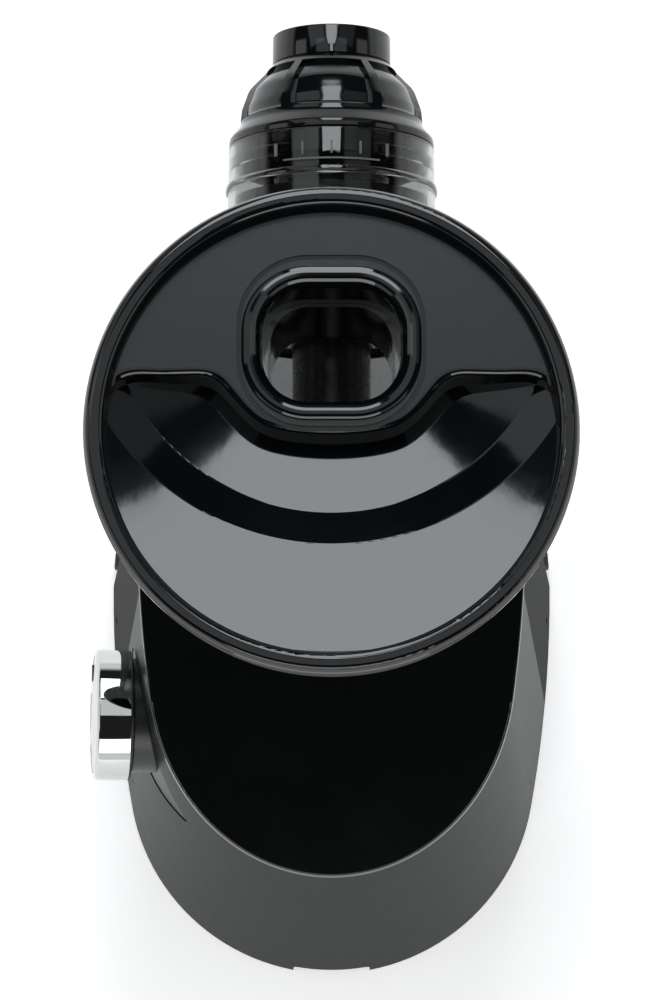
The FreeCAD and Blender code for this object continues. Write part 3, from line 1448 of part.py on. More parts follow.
doc.recompute()
base_solid = [f for f in control_panel.Group if f.isDerivedFrom("PartDesign::AdditiveLoft")][0].Shape
bez = Part.makeCylinder(24.2, 16.0, Vector(0, 0, -16.5)).cut(Part.makeCylinder(5.1, 20.0, Vector(0, 0, -18)))
bez.Placement = kplace
bez = bez.cut(base_solid)
bez = max(bez.Solids, key=lambda q: q.Volume)
from_shape("knob_bezel", bez)
hole = Part.makeCylinder(5.1, 40.0, Vector(0, 0, -30))
hole.Placement = kplace
panel_hole = doc.addObject("Part::Feature", "Tool_switch_hole")
panel_hole.Shape = hole
panel_cut = doc.addObject("Part::Cut", "Cut_control_panel")
panel_cut.Base = control_panel
panel_cut.Tool = panel_hole
control_panel.Label = "control_panel_blank"
keep("control_panel", panel_cut)

holder = new_body("board_holder")
sk = sketch(holder, "XY_Plane", 6.0)
loop(sk, box2(-66.0, -122.0, -54.0, -66.0, 2.0))
pad(holder, sk, 10.0)
sk = sketch(holder, "XY_Plane", 9.0)
loop(sk, box2(-60.8, -118.0, -59.2, -70.0))
pocket(holder, sk, 10.0, Reversed=True)
board = Part.makeBox(1.6, 48.0, 58.0, Vector(-60.8, -118.0, 9.0))
chips = []
for y, z, wy, wz, tx in ((-108, 24, 10, 10, 3), (-90, 22, 14, 8, 4), (-112, 46, 8, 14, 6), (-92, 42, 12, 12, 9), (-78, 52, 6, 6, 7)):
    chips.append(Part.makeBox(tx, wy, wz, Vector(-60.8 - tx, y, z)))
board = board.fuse(chips)
from_shape("control_board", board.removeSplitter())
capacitor = new_body("motor_capacitor", 62.0, -92.0, 6.0)
sk = sketch(capacitor, "XZ_Plane")
loop(sk, [(0.0, 0.0), (12.5, 0.0, 1.0), (12.5, 44.0, 1.5), (4.0, 44.0), (4.0, 46.5, 0.5), (0.0, 46.5)])
turn(capacitor, sk, axis="V_Axis")

# ---------------------------------------------------------------- check, write
doc.recompute()
bad = [o.Name for o in doc.Objects if "Invalid" in o.State or "Error" in o.State]
if bad:
    raise SystemExit("failed objects: " + ", ".join(bad))
for label, obj in PARTS.items():
    if obj.Shape.isNull() or not obj.Shape.isValid() or not obj.Shape.Solids:
        raise SystemExit("no valid shape: " + label)
os.makedirs("parts", exist_ok=True)
for label, obj in PARTS.items():
    obj.Shape.exportStep("parts/%s.step" % label)
print(len(PARTS), "parts")
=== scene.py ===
import math
import random

import bmesh
import bpy
import numpy as np
from mathutils import Matrix, Vector


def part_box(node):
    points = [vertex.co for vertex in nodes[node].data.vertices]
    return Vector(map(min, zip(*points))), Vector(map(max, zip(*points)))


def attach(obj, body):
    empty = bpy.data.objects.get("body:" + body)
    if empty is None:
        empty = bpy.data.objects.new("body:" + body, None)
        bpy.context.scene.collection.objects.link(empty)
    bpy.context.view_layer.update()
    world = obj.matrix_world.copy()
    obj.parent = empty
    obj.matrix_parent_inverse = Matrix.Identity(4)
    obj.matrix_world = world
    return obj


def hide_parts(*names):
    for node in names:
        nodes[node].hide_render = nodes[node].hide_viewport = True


random.seed(11)

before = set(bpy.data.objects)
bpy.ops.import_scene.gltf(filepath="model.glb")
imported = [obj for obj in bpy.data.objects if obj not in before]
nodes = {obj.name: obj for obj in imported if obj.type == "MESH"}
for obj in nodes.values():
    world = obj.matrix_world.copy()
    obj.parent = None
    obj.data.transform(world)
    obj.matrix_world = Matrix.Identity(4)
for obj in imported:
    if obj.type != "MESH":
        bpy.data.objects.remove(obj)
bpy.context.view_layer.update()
scene = bpy.context.scene
scene.view_settings.view_transform = "Standard"
scene.view_settings.look = "None"

# knob axis: out to the left, tilted up by five degrees
KNOB = Vector((-0.0855, -0.094, 0.139))
KNOB_AXIS = Vector((-math.cos(math.radians(5)), 0, math.sin(math.radians(5))))
AXIS_Z = 0.190


# ---------------------------------------------------------------- materials
class Finish:
    """A procedural material: one principled shader and the nodes that drive it."""

    def __init__(self, name, **sockets):
        self.m = bpy.data.materials.new(name)
        self.m.use_nodes = True
        self.t = self.m.node_tree
        self.t.nodes.clear()
        self.out = self.t.nodes.new("ShaderNodeOutputMaterial")
        self.b = self.t.nodes.new("ShaderNodeBsdfPrincipled")
        self.t.links.new(self.b.outputs[0], self.out.inputs[0])
        self.tc = self.t.nodes.new("ShaderNodeTexCoord")
        self.at = self.tc.outputs["Object"]
        for k, v in sockets.items():
            self.b.inputs[k.replace("_", " ")].default_value = v

    def new(self, kind, **props):
        n = self.t.nodes.new(kind)
        for k, v in props.items():
            setattr(n, k, v)
        return n

    def put(self, socket, value):
        if value is None:
            return
        if isinstance(value, bpy.types.NodeSocket):
            self.t.links.new(value, socket)
        else:
            socket.default_value = value

    def noise(self, scale, detail=3.0, rough=0.5, at=None, distort=0.0):
        n = self.new("ShaderNodeTexNoise")
        self.put(n.inputs["Vector"], at or self.at)
        n.inputs["Scale"].default_value = scale
        n.inputs["Detail"].default_value = detail
        n.inputs["Roughness"].default_value = rough
        n.inputs["Distortion"].default_value = distort
        return n.outputs["Fac"]

    def cells(self, scale, at=None, feature="F1", out="Distance", rand=1.0):
        n = self.new("ShaderNodeTexVoronoi", feature=feature)
        self.put(n.inputs["Vector"], at or self.at)
        n.inputs["Scale"].default_value = scale
        n.inputs["Randomness"].default_value = rand
        return n.outputs[out]

    def stretch(self, sx, sy, sz, at=None, rot=(0, 0, 0)):
        n = self.new("ShaderNodeMapping")
        self.put(n.inputs["Vector"], at or self.at)
        n.inputs["Scale"].default_value = (sx, sy, sz)
        n.inputs["Rotation"].default_value = rot
        return n.outputs[0]

    def range(self, v, a, b, c, d, smooth=False):
        n = self.new("ShaderNodeMapRange", clamp=True)
        if smooth:
            n.interpolation_type = "SMOOTHSTEP"
        self.put(n.inputs["Value"], v)
        for k, x in (("From Min", a), ("From Max", b), ("To Min", c), ("To Max", d)):
            n.inputs[k].default_value = x
        return n.outputs["Result"]

    def op(self, kind, a, b=None, c=None, clamp=False):
        n = self.new("ShaderNodeMath", operation=kind, use_clamp=clamp)
        self.put(n.inputs[0], a)
        self.put(n.inputs[1], b)
        if c is not None:
            self.put(n.inputs[2], c)
        return n.outputs[0]

    def vop(self, kind, a, b=None, out=0):
        n = self.new("ShaderNodeVectorMath", operation=kind)
        self.put(n.inputs[0], a)
        self.put(n.inputs[1], b)
        return n.outputs[out]

    def xyz(self, at=None):
        n = self.new("ShaderNodeSeparateXYZ")
        self.put(n.inputs[0], at or self.at)
        return n.outputs[0], n.outputs[1], n.outputs[2]

    def mix(self, fac, a, b):
        n = self.new("ShaderNodeMix", data_type="RGBA")
        self.put(n.inputs[0], fac)
        self.put(n.inputs[6], a if isinstance(a, bpy.types.NodeSocket) else (*a, 1.0))
        self.put(n.inputs[7], b if isinstance(b, bpy.types.NodeSocket) else (*b, 1.0))
        return n.outputs[2]

    def bump(self, height, strength, distance, normal=None):
        n = self.new("ShaderNodeBump")
        n.inputs["Strength"].default_value = strength
        n.inputs["Distance"].default_value = distance
        self.put(n.inputs["Height"], height)
        if normal is not None:
            self.put(n.inputs["Normal"], normal)
        return n.outputs[0]

    def round_edge(self, radius, samples=3):
        n = self.new("ShaderNodeBevel", samples=samples)
        n.inputs["Radius"].default_value = radius
        return n.outputs[0]

    def edge(self, radius, samples=3):
        """1 on worn edges, 0 on open faces."""
        g = self.new("ShaderNodeNewGeometry")
        d = self.vop("DOT_PRODUCT", self.round_edge(radius, samples), g.outputs["Normal"], out="Value")
        return self.range(d, 0.995, 0.80, 0.0, 1.0)

    def color(self, v):
        self.put(self.b.inputs["Base Color"], v)

    def rough(self, v):
        self.put(self.b.inputs["Roughness"], v)

    def normal(self, v):
        self.put(self.b.inputs["Normal"], v)

    def around(self, centre, axis):
        """(distance from an axis, position along it) for turned and spun finishes."""
        rel = self.vop("SUBTRACT", self.at, tuple(centre))
        along = self.vop("DOT_PRODUCT", rel, tuple(axis), out="Value")
        sq = self.vop("DOT_PRODUCT", rel, rel, out="Value")
        r2 = self.op("SUBTRACT", sq, self.op("MULTIPLY", along, along))
        return self.op("SQRT", self.op("MAXIMUM", r2, 0.0)), along

    def turn_angle(self, centre_x, centre_z):
        x, y, z = self.xyz()
        return self.op("ARCTAN2", self.op("SUBTRACT", z, centre_z), self.op("SUBTRACT", x, centre_x))


def rgb(r, g, b):
    return (r, g, b, 1.0)


def paint_graphite(name, lo=0.335, lift=1.0):
    f = Finish(name, Metallic=1.0, IOR=1.45, Specular_Tint=rgb(0.54, 0.555, 0.545))
    flake = f.cells(2600, out="Color")
    r, g, b = f.xyz(flake)
    cloud = f.noise(9, 2)
    base = f.mix(f.range(r, 0.15, 0.95, 0, 1), tuple(lift * c for c in (0.040, 0.0425, 0.0415)), tuple(lift * c for c in (0.072, 0.0757, 0.0735)))
    f.color(f.mix(f.range(cloud, 0.3, 0.7, 0.0, 0.22), base, tuple(lift * c for c in (0.047, 0.0494, 0.0485))))
    smear = f.noise(42, 4, 0.62)
    f.rough(f.op("ADD", f.range(smear, 0.3, 0.75, lo, lo + 0.017), f.op("MULTIPLY", g, 0.03)))
    peel = f.noise(420, 2)
    n1 = f.bump(peel, 0.045, 0.0006)
    n2 = f.bump(b, 0.035, 0.0003, n1)
    f.normal(n2)
    return f.m


def paint_gloss(name, base=(0.0022, 0.0029, 0.0031), lo=0.05, hi=0.09):
    f = Finish(name, IOR=1.50, Coat_Weight=0.0)
    x = f.noise(14, 3)
    f.color(f.mix(f.range(x, 0.3, 0.7, 0, 1), base, tuple(c * 1.3 for c in base)))
    smear = f.noise(33, 5, 0.66, distort=0.6)
    dust = f.cells(210)
    specks = f.range(dust, 0.02, 0.05, 0.16, 0.0)
    f.rough(f.op("ADD", f.range(smear, 0.35, 0.8, lo, hi), specks))
    peel = f.noise(150, 2)
    f.normal(f.bump(peel, 0.020, 0.0005))
    return f.m


def paint_tray(name):
    """Gloss black moulding whose flat shelf is a fine satin texture."""
    f = Finish(name, IOR=1.50)
    x, y, z = f.xyz()
    nx, ny, nz = f.xyz(f.tc.outputs["Normal"])
    flat = f.range(nz, 0.985, 0.997, 0.0, 1.0)
    band = f.op("MULTIPLY", f.range(z, 0.3209, 0.3213, 0, 1), f.range(z, 0.3229, 0.3234, 1, 0))
    shelf = f.op("MULTIPLY", flat, band)
    cloud = f.noise(12, 3)
    gloss = f.mix(f.range(cloud, 0.3, 0.7, 0, 1), (0.0020, 0.0026, 0.0033), (0.0029, 0.0035, 0.0043))
    f.color(f.mix(shelf, gloss, (0.0064, 0.0072, 0.0080)))
    smear = f.noise(30, 5, 0.66, distort=0.5)
    fine = f.noise(900, 2)
    g_r = f.range(smear, 0.35, 0.8, 0.045, 0.085)
    s_r = f.range(fine, 0.3, 0.7, 0.19, 0.23)
    mixr = f.op("ADD", f.op("MULTIPLY", g_r, f.op("SUBTRACT", 1.0, shelf)), f.op("MULTIPLY", s_r, shelf))
    f.rough(mixr)
    peel = f.noise(140, 2)
    n1 = f.bump(peel, 0.018, 0.0005)
    grain = f.op("MULTIPLY", f.noise(1500, 3), shelf)
    f.normal(f.bump(grain, 0.10, 0.0002, n1))
    return f.m


def paint_textured(name, base, rough, grain=1300, strength=0.25, wear=0.6, radius=0.0006, spec=0.5):
    """Spark-textured moulding with lightly polished edges."""
    f = Finish(name, IOR=1.48)
    f.b.inputs["Specular IOR Level"].default_value = spec
    g = f.noise(grain, 3, 0.6)
    cloud = f.noise(20, 4)
    edge = f.edge(radius)
    col = f.mix(f.range(cloud, 0.3, 0.7, 0, 1), base, tuple(min(1, c * 1.22 + 0.001) for c in base))
    worn = tuple(min(1, c * 1.9 + 0.006) for c in base)
    chip = f.op("MULTIPLY", edge, f.range(f.noise(160, 3), 0.35, 0.7, 0.15, wear))
    f.color(f.mix(chip, col, worn))
    f.rough(f.op("SUBTRACT", f.range(g, 0.3, 0.7, rough - 0.05, rough + 0.06), f.op("MULTIPLY", edge, 0.12)))
    f.normal(f.bump(g, strength, 0.0003, f.round_edge(radius)))
    return f.m


def paint_rubber(name):
    f = Finish(name, IOR=1.45)
    f.b.inputs["Sheen Weight"].default_value = 0.08
    g = f.noise(700, 4, 0.6)
    dust = f.noise(55, 4, 0.65)
    f.color(f.mix(f.range(dust, 0.45, 0.75, 0, 0.5), (0.018, 0.018, 0.018), (0.060, 0.058, 0.055)))
    f.rough(f.range(g, 0.3, 0.7, 0.72, 0.88))
    f.normal(f.bump(g, 0.35, 0.0004))
    return f.m


def paint_metal(name, base, rough, grain=(1, 60, 1), scale=60, strength=0.10, edge_light=0.35, dark=0.8, radius=0.0004):
    """Machined or rolled metal: streaks across one direction, brighter edges."""
    f = Finish(name, Metallic=1.0)
    streak = f.noise(scale, 4, 0.6, at=f.stretch(*grain))
    cloud = f.noise(45, 4, 0.6)
    edge = f.edge(radius, 2)
    low = tuple(c * dark for c in base)
    col = f.mix(f.range(streak, 0.3, 0.7, 0, 1), low, base)
    col = f.mix(f.range(cloud, 0.45, 0.8, 0, 0.35), col, tuple(c * 0.72 for c in base))
    f.color(f.mix(f.op("MULTIPLY", edge, edge_light), col, tuple(min(1, c * 1.35) for c in base)))
    f.rough(f.op("ADD", f.range(streak, 0.25, 0.75, rough - 0.05, rough + 0.05), f.range(cloud, 0.4, 0.8, 0.0, 0.08)))
    f.normal(f.bump(streak, strength, 0.0002))
    return f.m


def paint_turned(name, base, rough, centre, axis, pitch=5200, strength=0.16):
    """Turned or spun metal: fine rings about an axis."""
    f = Finish(name, Metallic=1.0)
    r, along = f.around(centre, axis)
    v = f.new("ShaderNodeCombineXYZ")
    f.put(v.inputs[0], r)
    f.put(v.inputs[1], f.op("MULTIPLY", along, 1.0))
    rings = f.noise(pitch, 2, 0.6, at=v.outputs[0])
    cloud = f.noise(70, 4, 0.6)
    f.color(f.mix(f.range(rings, 0.3, 0.7, 0, 1), tuple(c * 0.82 for c in base), base))
    f.rough(f.op("ADD", f.range(rings, 0.25, 0.75, rough - 0.05, rough + 0.05), f.range(cloud, 0.45, 0.8, 0, 0.06)))
    f.normal(f.bump(rings, strength, 0.00015))
    return f.m


def paint_cast(name, base):
    f = Finish(name, Metallic=0.95)
    g = f.noise(420, 5, 0.65)
    edge = f.edge(0.0007, 3)
    cloud = f.noise(28, 4)
    col = f.mix(f.range(g, 0.3, 0.7, 0, 1), tuple(c * 0.78 for c in base), base)
    col = f.mix(f.range(cloud, 0.4, 0.75, 0, 0.3), col, tuple(c * 0.62 for c in base))
    f.color(f.mix(f.op("MULTIPLY", edge, 0.5), col, tuple(min(1, c * 1.3) for c in base)))
    f.rough(f.op("SUBTRACT", f.range(g, 0.3, 0.7, 0.46, 0.62), f.op("MULTIPLY", edge, 0.18)))
    f.normal(f.bump(g, 0.4, 0.0005, f.round_edge(0.0006)))
    return f.m


def paint_chrome(name):
    f = Finish(name, Metallic=1.0)
    haze = f.noise(60, 5, 0.65)
    f.color(f.mix(f.range(haze, 0.35, 0.75, 0, 1), (0.62, 0.635, 0.625), (0.56, 0.575, 0.565)))
    f.rough(f.range(haze, 0.4, 0.8, 0.025, 0.07))
    f.normal(f.bump(f.noise(110, 2), 0.015, 0.0004))
    return f.m


def paint_smoke(name):
    """Clear smoke-tinted moulding. The feed tube above z = 0.232 carries painted shade: its colour is darkened to stand
    for the shade inside the chute. The barrel behind y = 0.078 is also darker.
    """
    f = Finish(name, IOR=1.49, Transmission_Weight=1.0)
    haze = f.noise(40, 4, 0.6)
    x, y, z = f.xyz()
    # painted shade: this mask darkens the feed tube, standing for the shade inside the chute
    tube = f.range(z, 0.232, 0.246, 0.0, 1.0, smooth=True)
    front = f.range(y, 0.078, 0.096, 0.0, 1.0, smooth=True)
    clear = f.mix(f.range(haze, 0.3, 0.7, 0, 1), (0.50, 0.51, 0.50), (0.45, 0.46, 0.455))
    barrel = f.mix(front, (0.155, 0.160, 0.160), clear)
    # painted shade on the feed tube, not a thicker tint
    f.color(f.mix(tube, barrel, (0.085, 0.088, 0.088)))
    f.rough(f.range(f.noise(70, 4, 0.6), 0.4, 0.8, 0.015, 0.06))
    f.normal(f.bump(f.noise(90, 2), 0.03, 0.0004))
    return f.m


def paint_silicone(name):
    f = Finish(name, IOR=1.41, Subsurface_Weight=0.15, Subsurface_Scale=0.002)
    g = f.noise(500, 3)
    f.color(f.mix(f.range(f.noise(60, 3), 0.3, 0.7, 0, 1), (0.30, 0.31, 0.31), (0.38, 0.385, 0.385)))
    f.rough(f.range(g, 0.3, 0.7, 0.45, 0.6))
    f.normal(f.bump(g, 0.2, 0.0003))
    return f.m


def paint_winding(name):
    """Enamelled wire laid side by side around the motor axis."""
    f = Finish(name, Metallic=0.75, Coat_Weight=0.6, Coat_Roughness=0.12)
    w = f.new("ShaderNodeTexWave", wave_type="BANDS", bands_direction="DIAGONAL")
    w.inputs["Scale"].default_value = 330
    w.inputs["Distortion"].default_value = 2.2
    w.inputs["Detail"].default_value = 2
    w.inputs["Detail Scale"].default_value = 0.6
    f.put(w.inputs["Vector"], f.at)
    v = w.outputs["Fac"]
    f.color(f.mix(f.range(v, 0.0, 0.75, 0, 1), (0.16, 0.055, 0.022), (0.66, 0.30, 0.13)))
    f.rough(f.range(f.noise(200, 3), 0.3, 0.7, 0.26, 0.38))
    f.normal(f.bump(v, 0.9, 0.0006))
    return f.m


def paint_laminated(name, base, axis="Y"):
    """Stacked punched steel sheets, seen as fine lines round the stack."""
    f = Finish(name, Metallic=0.9)
    w = f.new("ShaderNodeTexWave", wave_type="BANDS", bands_direction=axis)
    w.inputs["Scale"].default_value = 310
    w.inputs["Distortion"].default_value = 0.0
    f.put(w.inputs["Vector"], f.at)
    v = w.outputs["Fac"]
    cloud = f.noise(60, 4)
    col = f.mix(f.range(v, 0.1, 0.6, 0, 1), tuple(c * 0.35 for c in base), base)
    f.color(f.mix(f.range(cloud, 0.5, 0.8, 0, 0.4), col, (0.20, 0.13, 0.09)))
    f.rough(f.range(f.noise(300, 3), 0.3, 0.7, 0.36, 0.5))
    f.normal(f.bump(v, 0.6, 0.0003))
    return f.m


def paint_board(name):
    """Circuit board: solder mask over tracks, tinned pads in rows."""
    f = Finish(name, IOR=1.5, Coat_Weight=0.4, Coat_Roughness=0.15)
    tracks = f.new("ShaderNodeTexBrick")
    tracks.inputs["Scale"].default_value = 160
    tracks.inputs["Mortar Size"].default_value = 0.06
    tracks.inputs["Mortar Smooth"].default_value = 0.1
    f.put(tracks.inputs["Vector"], f.stretch(0, 1, 1, rot=(0, math.radians(90), 0)))
    t = tracks.outputs["Fac"]
    pads = f.range(f.cells(260, rand=0.0), 0.18, 0.22, 1.0, 0.0)
    col = f.mix(t, (0.006, 0.085, 0.030), (0.018, 0.16, 0.055))
    sel = f.op("MULTIPLY", pads, f.range(f.noise(30, 1), 0.55, 0.58, 0, 1))
    f.color(f.mix(sel, col, (0.62, 0.62, 0.60)))
    f.rough(f.range(f.noise(90, 3), 0.3, 0.7, 0.28, 0.4))
    f.normal(f.bump(f.op("ADD", t, sel), 0.3, 0.0002))
    return f.m


def paint_print(name):
    f = Finish(name, IOR=1.45)
    g = f.noise(900, 3)
    f.color(f.mix(f.range(g, 0.3, 0.7, 0, 1), (0.09, 0.095, 0.095), (0.15, 0.155, 0.155)))
    f.rough(f.range(g, 0.3, 0.7, 0.4, 0.55))
    f.normal(f.bump(g, 0.1, 0.0001))
    return f.m


Y = Vector((0, 1, 0))
OUT = Vector((0, 0, AXIS_Z))
IDLER = Vector((0, 0, 0.1588))
MOTOR = Vector((0, 0, 0.1303))

M = {
    "graphite": paint_graphite("graphite_paint"),
    "panel": paint_graphite("graphite_panel", 0.24, 1.25),
    "gloss": paint_gloss("gloss_black"),
    "tray": paint_tray("tray_black"),
    "housing_black": paint_textured("housing_black", (0.0048, 0.0050, 0.0054), 0.66, 1500, 0.05, 0.35, 0.0006, 0.10),
    "cap": paint_gloss("cap_black", (0.0030, 0.0035, 0.0040), 0.07, 0.12),
    "matte": paint_textured("matte_black", (0.020, 0.020, 0.021), 0.58, 1300, 0.25),
    "satin": paint_textured("satin_black", (0.010, 0.011, 0.012), 0.36, 900, 0.10, 0.4),
    "rubber": paint_rubber("rubber_black"),
    "zinc": paint_metal("zinc_steel", (0.58, 0.58, 0.56), 0.32, (3, 3, 3), 120),
    "housing": paint_cast("die_cast_grey", (0.34, 0.35, 0.36)),
    "alloy": paint_cast("cast_alloy", (0.52, 0.52, 0.53)),
    "can": paint_metal("motor_steel", (0.34, 0.34, 0.35), 0.33, (4, 90, 4), 18, 0.06),
    "lamination": paint_laminated("laminated_steel", (0.42, 0.42, 0.43)),
    "copper": paint_winding("enamelled_wire"),
    "bronze": paint_turned("sintered_bronze", (0.58, 0.40, 0.20), 0.42, IDLER, Y),
    "bearing": paint_turned("bearing_steel", (0.66, 0.66, 0.67), 0.20, OUT, Y),
    "shaft_out": paint_turned("ground_shaft", (0.62, 0.62, 0.63), 0.24, OUT, Y),
    "gear_out": paint_turned("machined_gear", (0.50, 0.50, 0.51), 0.33, OUT, Y),
    "shaft_idler": paint_turned("idler_steel", (0.60, 0.60, 0.61), 0.26, IDLER, Y),
    "shaft_motor": paint_turned("motor_shaft_steel", (0.62, 0.62, 0.63), 0.22, MOTOR, Y),
    "nylon": paint_textured("moulded_nylon", (0.72, 0.70, 0.62), 0.42, 800, 0.06, 0.1),
    "auger": paint_textured("auger_resin", (0.018, 0.0185, 0.0195), 0.24, 700, 0.06, 0.35, 0.0008),
    "chrome": paint_chrome("chrome"),
    "spun": paint_turned("spun_knob_face", (0.72, 0.73, 0.74), 0.30, KNOB, KNOB_AXIS, 3600, 0.10),
    "smoke": paint_smoke("clear_smoke"),
    "seal": paint_silicone("silicone_grey"),
    "screen": paint_metal("screen_steel", (0.62, 0.62, 0.60), 0.28, (1, 1, 1), 300),
    "board": paint_board("circuit_board"),
    "print": paint_print("pale_print"),
    "fan": paint_textured("fan_moulding", (0.055, 0.056, 0.058), 0.45, 800, 0.10, 0.3),
    "film": paint_textured("capacitor_case", (0.045, 0.055, 0.075), 0.30, 300, 0.05, 0.3),
}

WEARS = {
    "rear_shell": "graphite", "control_panel": "panel", "front_housing": "housing_black", "top_cover": "gloss",
    "base_plate": "matte", "front_plinth": "matte", "rubber_feet": "rubber", "base_screws": "zinc",
    "cord_gland": "rubber", "output_bearings": "bearing", "shaft_seal": "rubber", "gearbox_case": "housing",
    "gearbox_cover": "housing", "idler_bushes": "bronze", "gearbox_screws": "zinc", "motor_can": "can",
    "stator_core": "lamination", "stator_windings": "copper", "stator_windings_front": "copper",
    "motor_end_bell": "alloy", "motor_front_bush": "bronze", "motor_cradle": "matte", "rotary_switch": "satin",
    "knob_bezel": "satin", "board_holder": "matte", "control_board": "board", "motor_capacitor": "film",
    "output_shaft": "shaft_out", "output_gear": "gear_out", "auger": "auger", "idler_shaft": "shaft_idler",
    "idler_gear": "nylon", "idler_pinion": "shaft_idler", "motor_shaft": "shaft_motor",
    "motor_pinion": "shaft_motor", "rotor_core": "lamination", "cooling_fan": "fan", "control_knob": "chrome",
    "knob_face": "spun", "knob_pointer": "satin", "switch_shaft": "zinc", "juicing_drum": "smoke", "juice_spout": "smoke",
    "drum_rear_seal": "seal", "drum_scale_marks": "print", "screen_frame": "satin", "screen_mesh": "screen",
    "feed_tray": "tray", "end_cap": "cap", "pulp_nozzle": "cap",
}
for name, finish in WEARS.items():
    if name not in nodes:
        continue
    mesh = nodes[name].data
    mesh.materials.clear()
    mesh.materials.append(M[finish])




# ---------------------------------------------------------------- shading of turned faces
def even_normals(node, centre, axis, r_lo, r_hi, gap=22.0, leave=(0.0, 0.0)):
    """Evens out the shading normals of faces turned about an axis, ring by ring."""
    if node not in nodes:
        return
    mesh = nodes[node].data
    n_loops = len(mesh.loops)
    nor = np.zeros(n_loops * 3, np.float32)
    mesh.corner_normals.foreach_get("vector", nor)
    nor = nor.reshape(-1, 3).astype(np.float64)
    vi = np.zeros(n_loops, np.int32)
    mesh.loops.foreach_get("vertex_index", vi)
    co = np.zeros(len(mesh.vertices) * 3, np.float32)
    mesh.vertices.foreach_get("co", co)
    co = co.reshape(-1, 3).astype(np.float64)[vi]
    ax = np.array(axis, float)
    rel = co - np.array(centre, float)
    t = rel @ ax
    rad = rel - np.outer(t, ax)
    r = np.linalg.norm(rad, axis=1)
    unit = rad / np.maximum(r, 1e-9)[:, None]
    nr = (nor * unit).sum(1)
    nt = nor @ ax
    swirl = np.sqrt(np.maximum(0.0, 1.0 - nr * nr - nt * nt))
    lean = np.degrees(np.arctan2(nt, nr))
    pick = (r > r_lo) & (r < r_hi) & (swirl < 0.10) & ~((lean > leave[0]) & (lean < leave[1]))
    ids = np.nonzero(pick)[0]
    if not len(ids):
        return
    key = np.round(r[ids] * 2e4).astype(np.int64) * 10000000 + np.round((t[ids] + 1.0) * 2e4).astype(np.int64)
    ang = np.degrees(np.arctan2(nt[ids], nr[ids]))
    order = np.lexsort((ang, key))
    k, a, who = key[order], ang[order], ids[order]
    brk = np.ones(len(k), bool)
    brk[1:] = (k[1:] != k[:-1]) | ((a[1:] - a[:-1]) > gap)
    grp = np.cumsum(brk) - 1
    n_g = grp[-1] + 1
    s_r = np.bincount(grp, nr[who], n_g)
    s_t = np.bincount(grp, nt[who], n_g)
    count = np.bincount(grp, minlength=n_g)
    ln = np.maximum(np.hypot(s_r, s_t), 1e-9)
    s_r, s_t = s_r / ln, s_t / ln
    use = count[grp] >= 12
    w, g = who[use], grp[use]
    nor[w] = unit[w] * s_r[g][:, None] + np.outer(s_t[g], ax)
    mesh.normals_split_custom_set(nor.astype(np.float32).tolist())


even_normals("feed_tray", (0, -0.008, 0), (0, 0, 1), 0.0905, 0.1005, leave=(94.0, 108.0))
for turned in ("pulp_nozzle", "end_cap", "juicing_drum"):
    even_normals(turned, (0, 0, AXIS_Z), (0, 1, 0), 0.012, 0.050)
even_normals("control_knob", tuple(KNOB), tuple(KNOB_AXIS), 0.020, 0.030)
even_normals("knob_face", tuple(KNOB), tuple(KNOB_AXIS), 0.002, 0.030)

# ---------------------------------------------------------------- woven strainer
def strainer():
    """Fine diamond mesh sleeve that stands for the plain strainer tube."""
    lo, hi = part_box("screen_mesh")
    r = (hi.x - lo.x) / 2 - 0.00042
    y0, y1 = lo.y + 0.0004, hi.y - 0.0004
    na, ny = 132, 32
    bm = bmesh.new()
    rows = []
    for j in range(2 * ny + 1):
        y = y0 + (y1 - y0) * j / (2 * ny)
        shift = 0.5 if j % 2 else 0.0
        row = []
        for i in range(na):
            a = 2 * math.pi * (i + shift) / na
            row.append(bm.verts.new((r * math.cos(a), y, AXIS_Z + r * math.sin(a))))
        rows.append(row)
    for j in range(0, 2 * ny - 1):
        for i in range(na):
            if j % 2 == 0:
                left = rows[j + 1][(i - 1) % na]
                right = rows[j + 1][i]
            else:
                left = rows[j + 1][i]
                right = rows[j + 1][(i + 1) % na]
            bm.faces.new((rows[j][i], right, rows[j + 2][i], left))
    mesh = bpy.data.meshes.new("strainer_mesh")
    bm.to_mesh(mesh)
    bm.free()
    o = bpy.data.objects.new("strainer_mesh", mesh)
    scene.collection.objects.link(o)
    wire = o.modifiers.new("wire", "WIREFRAME")
    wire.thickness = 0.00055
    wire.use_even_offset = False
    mesh.materials.append(M["screen"])
    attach(o, "drum")
    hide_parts("screen_mesh")


strainer()

# ---------------------------------------------------------------- studio
def area(name, towards, distance, wide, deep, radiance, sideways=(1, 0, 0), colour=(1, 1, 1)):
    """A rectangular softbox that faces the object from a direction, with a known radiance."""
    d = Vector(towards).normalized()
    at = Vector((0, -0.0125, 0.22)) + d * distance
    x = Vector(sideways)
    x = (x - d * x.dot(d)).normalized()
    y = d.cross(x)
    lamp = bpy.data.lights.new(name, "AREA")
    lamp.shape = "RECTANGLE"
    lamp.size = wide
    lamp.size_y = deep
    lamp.energy = radiance * 4.0 * wide * deep
    lamp.color = colour
    o = bpy.data.objects.new(name, lamp)
    o.matrix_world = Matrix((
        (x.x, y.x, d.x, at.x), (x.y, y.y, d.y, at.y), (x.z, y.z, d.z, at.z), (0, 0, 0, 1),
    ))
    o.visible_camera = False
    scene.collection.objects.link(o)
    return o


def polar(deg):
    """Unit direction in the Y-Z plane, at an angle from straight up toward the back of the picture."""
    a = math.radians(deg)
    return (0, math.sin(a), math.cos(a))


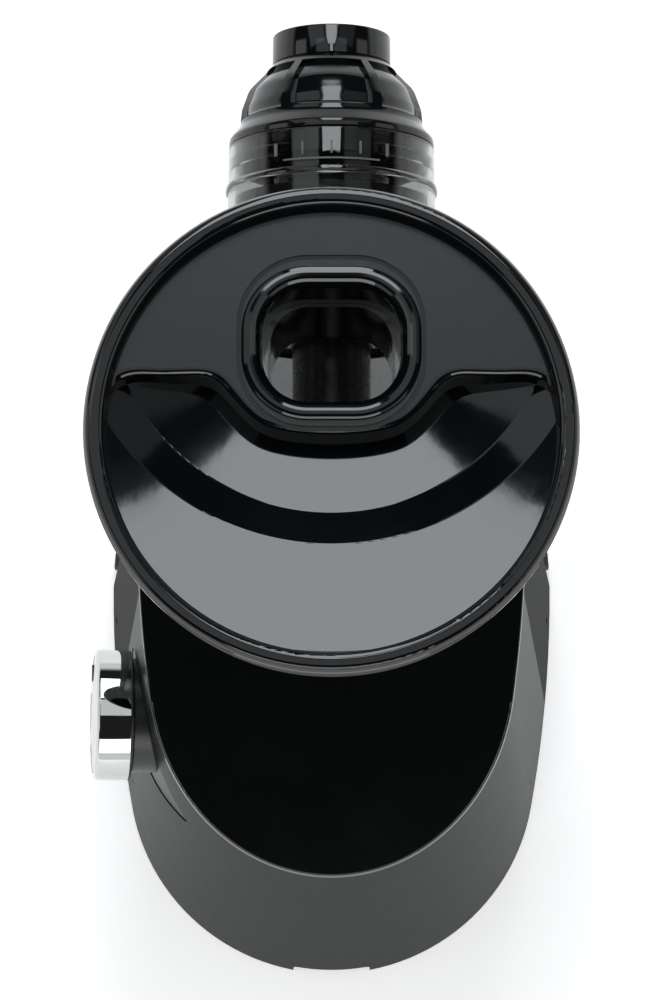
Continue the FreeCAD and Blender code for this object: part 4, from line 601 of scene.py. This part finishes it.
area("overhead", polar(1.5), 1.85, 2.08, 0.95, 0.62, colour=(0.94, 0.98, 1.0))
area("front_box", polar(38.5), 1.8, 0.63, 1.245, 5.1, colour=(0.93, 0.965, 1.0))
area("rear_box", polar(-69), 1.9, 2.0, 0.90, 2.4)
area("left_fill", (-0.47, 0.46, 0.75), 1.9, 0.95, 1.25, 0.62, colour=(0.94, 0.98, 1.0))
area("right_fill", (0.47, 0.46, 0.75), 1.9, 0.95, 1.25, 0.22, colour=(0.94, 0.98, 1.0))
left = Vector((-math.sin(math.radians(62)), -0.10, math.cos(math.radians(62))))
area("left_box", left, 1.9, 1.5, 0.8, 0.9, sideways=(0, 1, 0))
right = Vector((math.sin(math.radians(62)), -0.10, math.cos(math.radians(62))))
area("right_box", right, 1.9, 1.5, 0.8, 0.7, sideways=(0, 1, 0))

world = bpy.data.worlds.new("studio")
scene.world = world
world.use_nodes = True
wt = world.node_tree
wt.nodes.clear()
w_out = wt.nodes.new("ShaderNodeOutputWorld")
w_bg = wt.nodes.new("ShaderNodeBackground")
w_tc = wt.nodes.new("ShaderNodeTexCoord")
w_sep = wt.nodes.new("ShaderNodeSeparateXYZ")
w_map = wt.nodes.new("ShaderNodeMapRange")
w_map.interpolation_type = "SMOOTHSTEP"
w_map.inputs["From Min"].default_value = 0.10
w_map.inputs["From Max"].default_value = 0.27
w_map.inputs["To Min"].default_value = 0.90
w_map.inputs["To Max"].default_value = 0.018
wt.links.new(w_tc.outputs["Generated"], w_sep.inputs[0])
wt.links.new(w_sep.outputs[2], w_map.inputs["Value"])
wt.links.new(w_map.outputs[0], w_bg.inputs["Strength"])
w_bg.inputs["Color"].default_value = (0.97, 0.985, 1.0, 1.0)
wt.links.new(w_bg.outputs[0], w_out.inputs[0])

floor_mesh = bpy.data.meshes.new("floor")
bm = bmesh.new()
bmesh.ops.create_circle(bm, cap_ends=True, segments=96, radius=5.0)
bm.to_mesh(floor_mesh)
bm.free()
floor = bpy.data.objects.new("floor", floor_mesh)
scene.collection.objects.link(floor)
ff = Finish("floor_paper", IOR=1.4)
ff.b.inputs["Specular IOR Level"].default_value = 0.15
fx, fy, fz = ff.xyz()
away = ff.vop("LENGTH", ff.at, out="Value")
fibre = ff.noise(240, 4)
ff.color(ff.mix(ff.range(fibre, 0.3, 0.7, 0, 1), (0.86, 0.86, 0.865), (0.89, 0.89, 0.895)))
ff.rough(ff.range(fibre, 0.3, 0.7, 0.78, 0.9))
ff.b.inputs["Emission Color"].default_value = rgb(1.0, 1.0, 1.0)
ff.put(ff.b.inputs["Emission Strength"], ff.range(away, 0.3, 3.5, 0.50, 0.80, smooth=True))
ff.normal(ff.bump(fibre, 0.05, 0.0005))
floor_mesh.materials.append(ff.m)

# ---------------------------------------------------------------- camera
cam_data = bpy.data.cameras.new("camera")
cam = bpy.data.objects.new("camera", cam_data)
scene.collection.objects.link(cam)
el = math.radians(79)
aim = Vector((0.00084, -0.0125, 0.200))
view_dir = Vector((0, -math.cos(el), math.sin(el)))
cam.location = aim + view_dir * 3.0
cam.rotation_euler = view_dir.to_track_quat("Z", "Y").to_euler()
cam_data.sensor_fit = "AUTO"
cam_data.sensor_width = 36.0
cam_data.lens = 257.5
cam_data.clip_start = 0.1
cam_data.clip_end = 60
scene.camera = cam
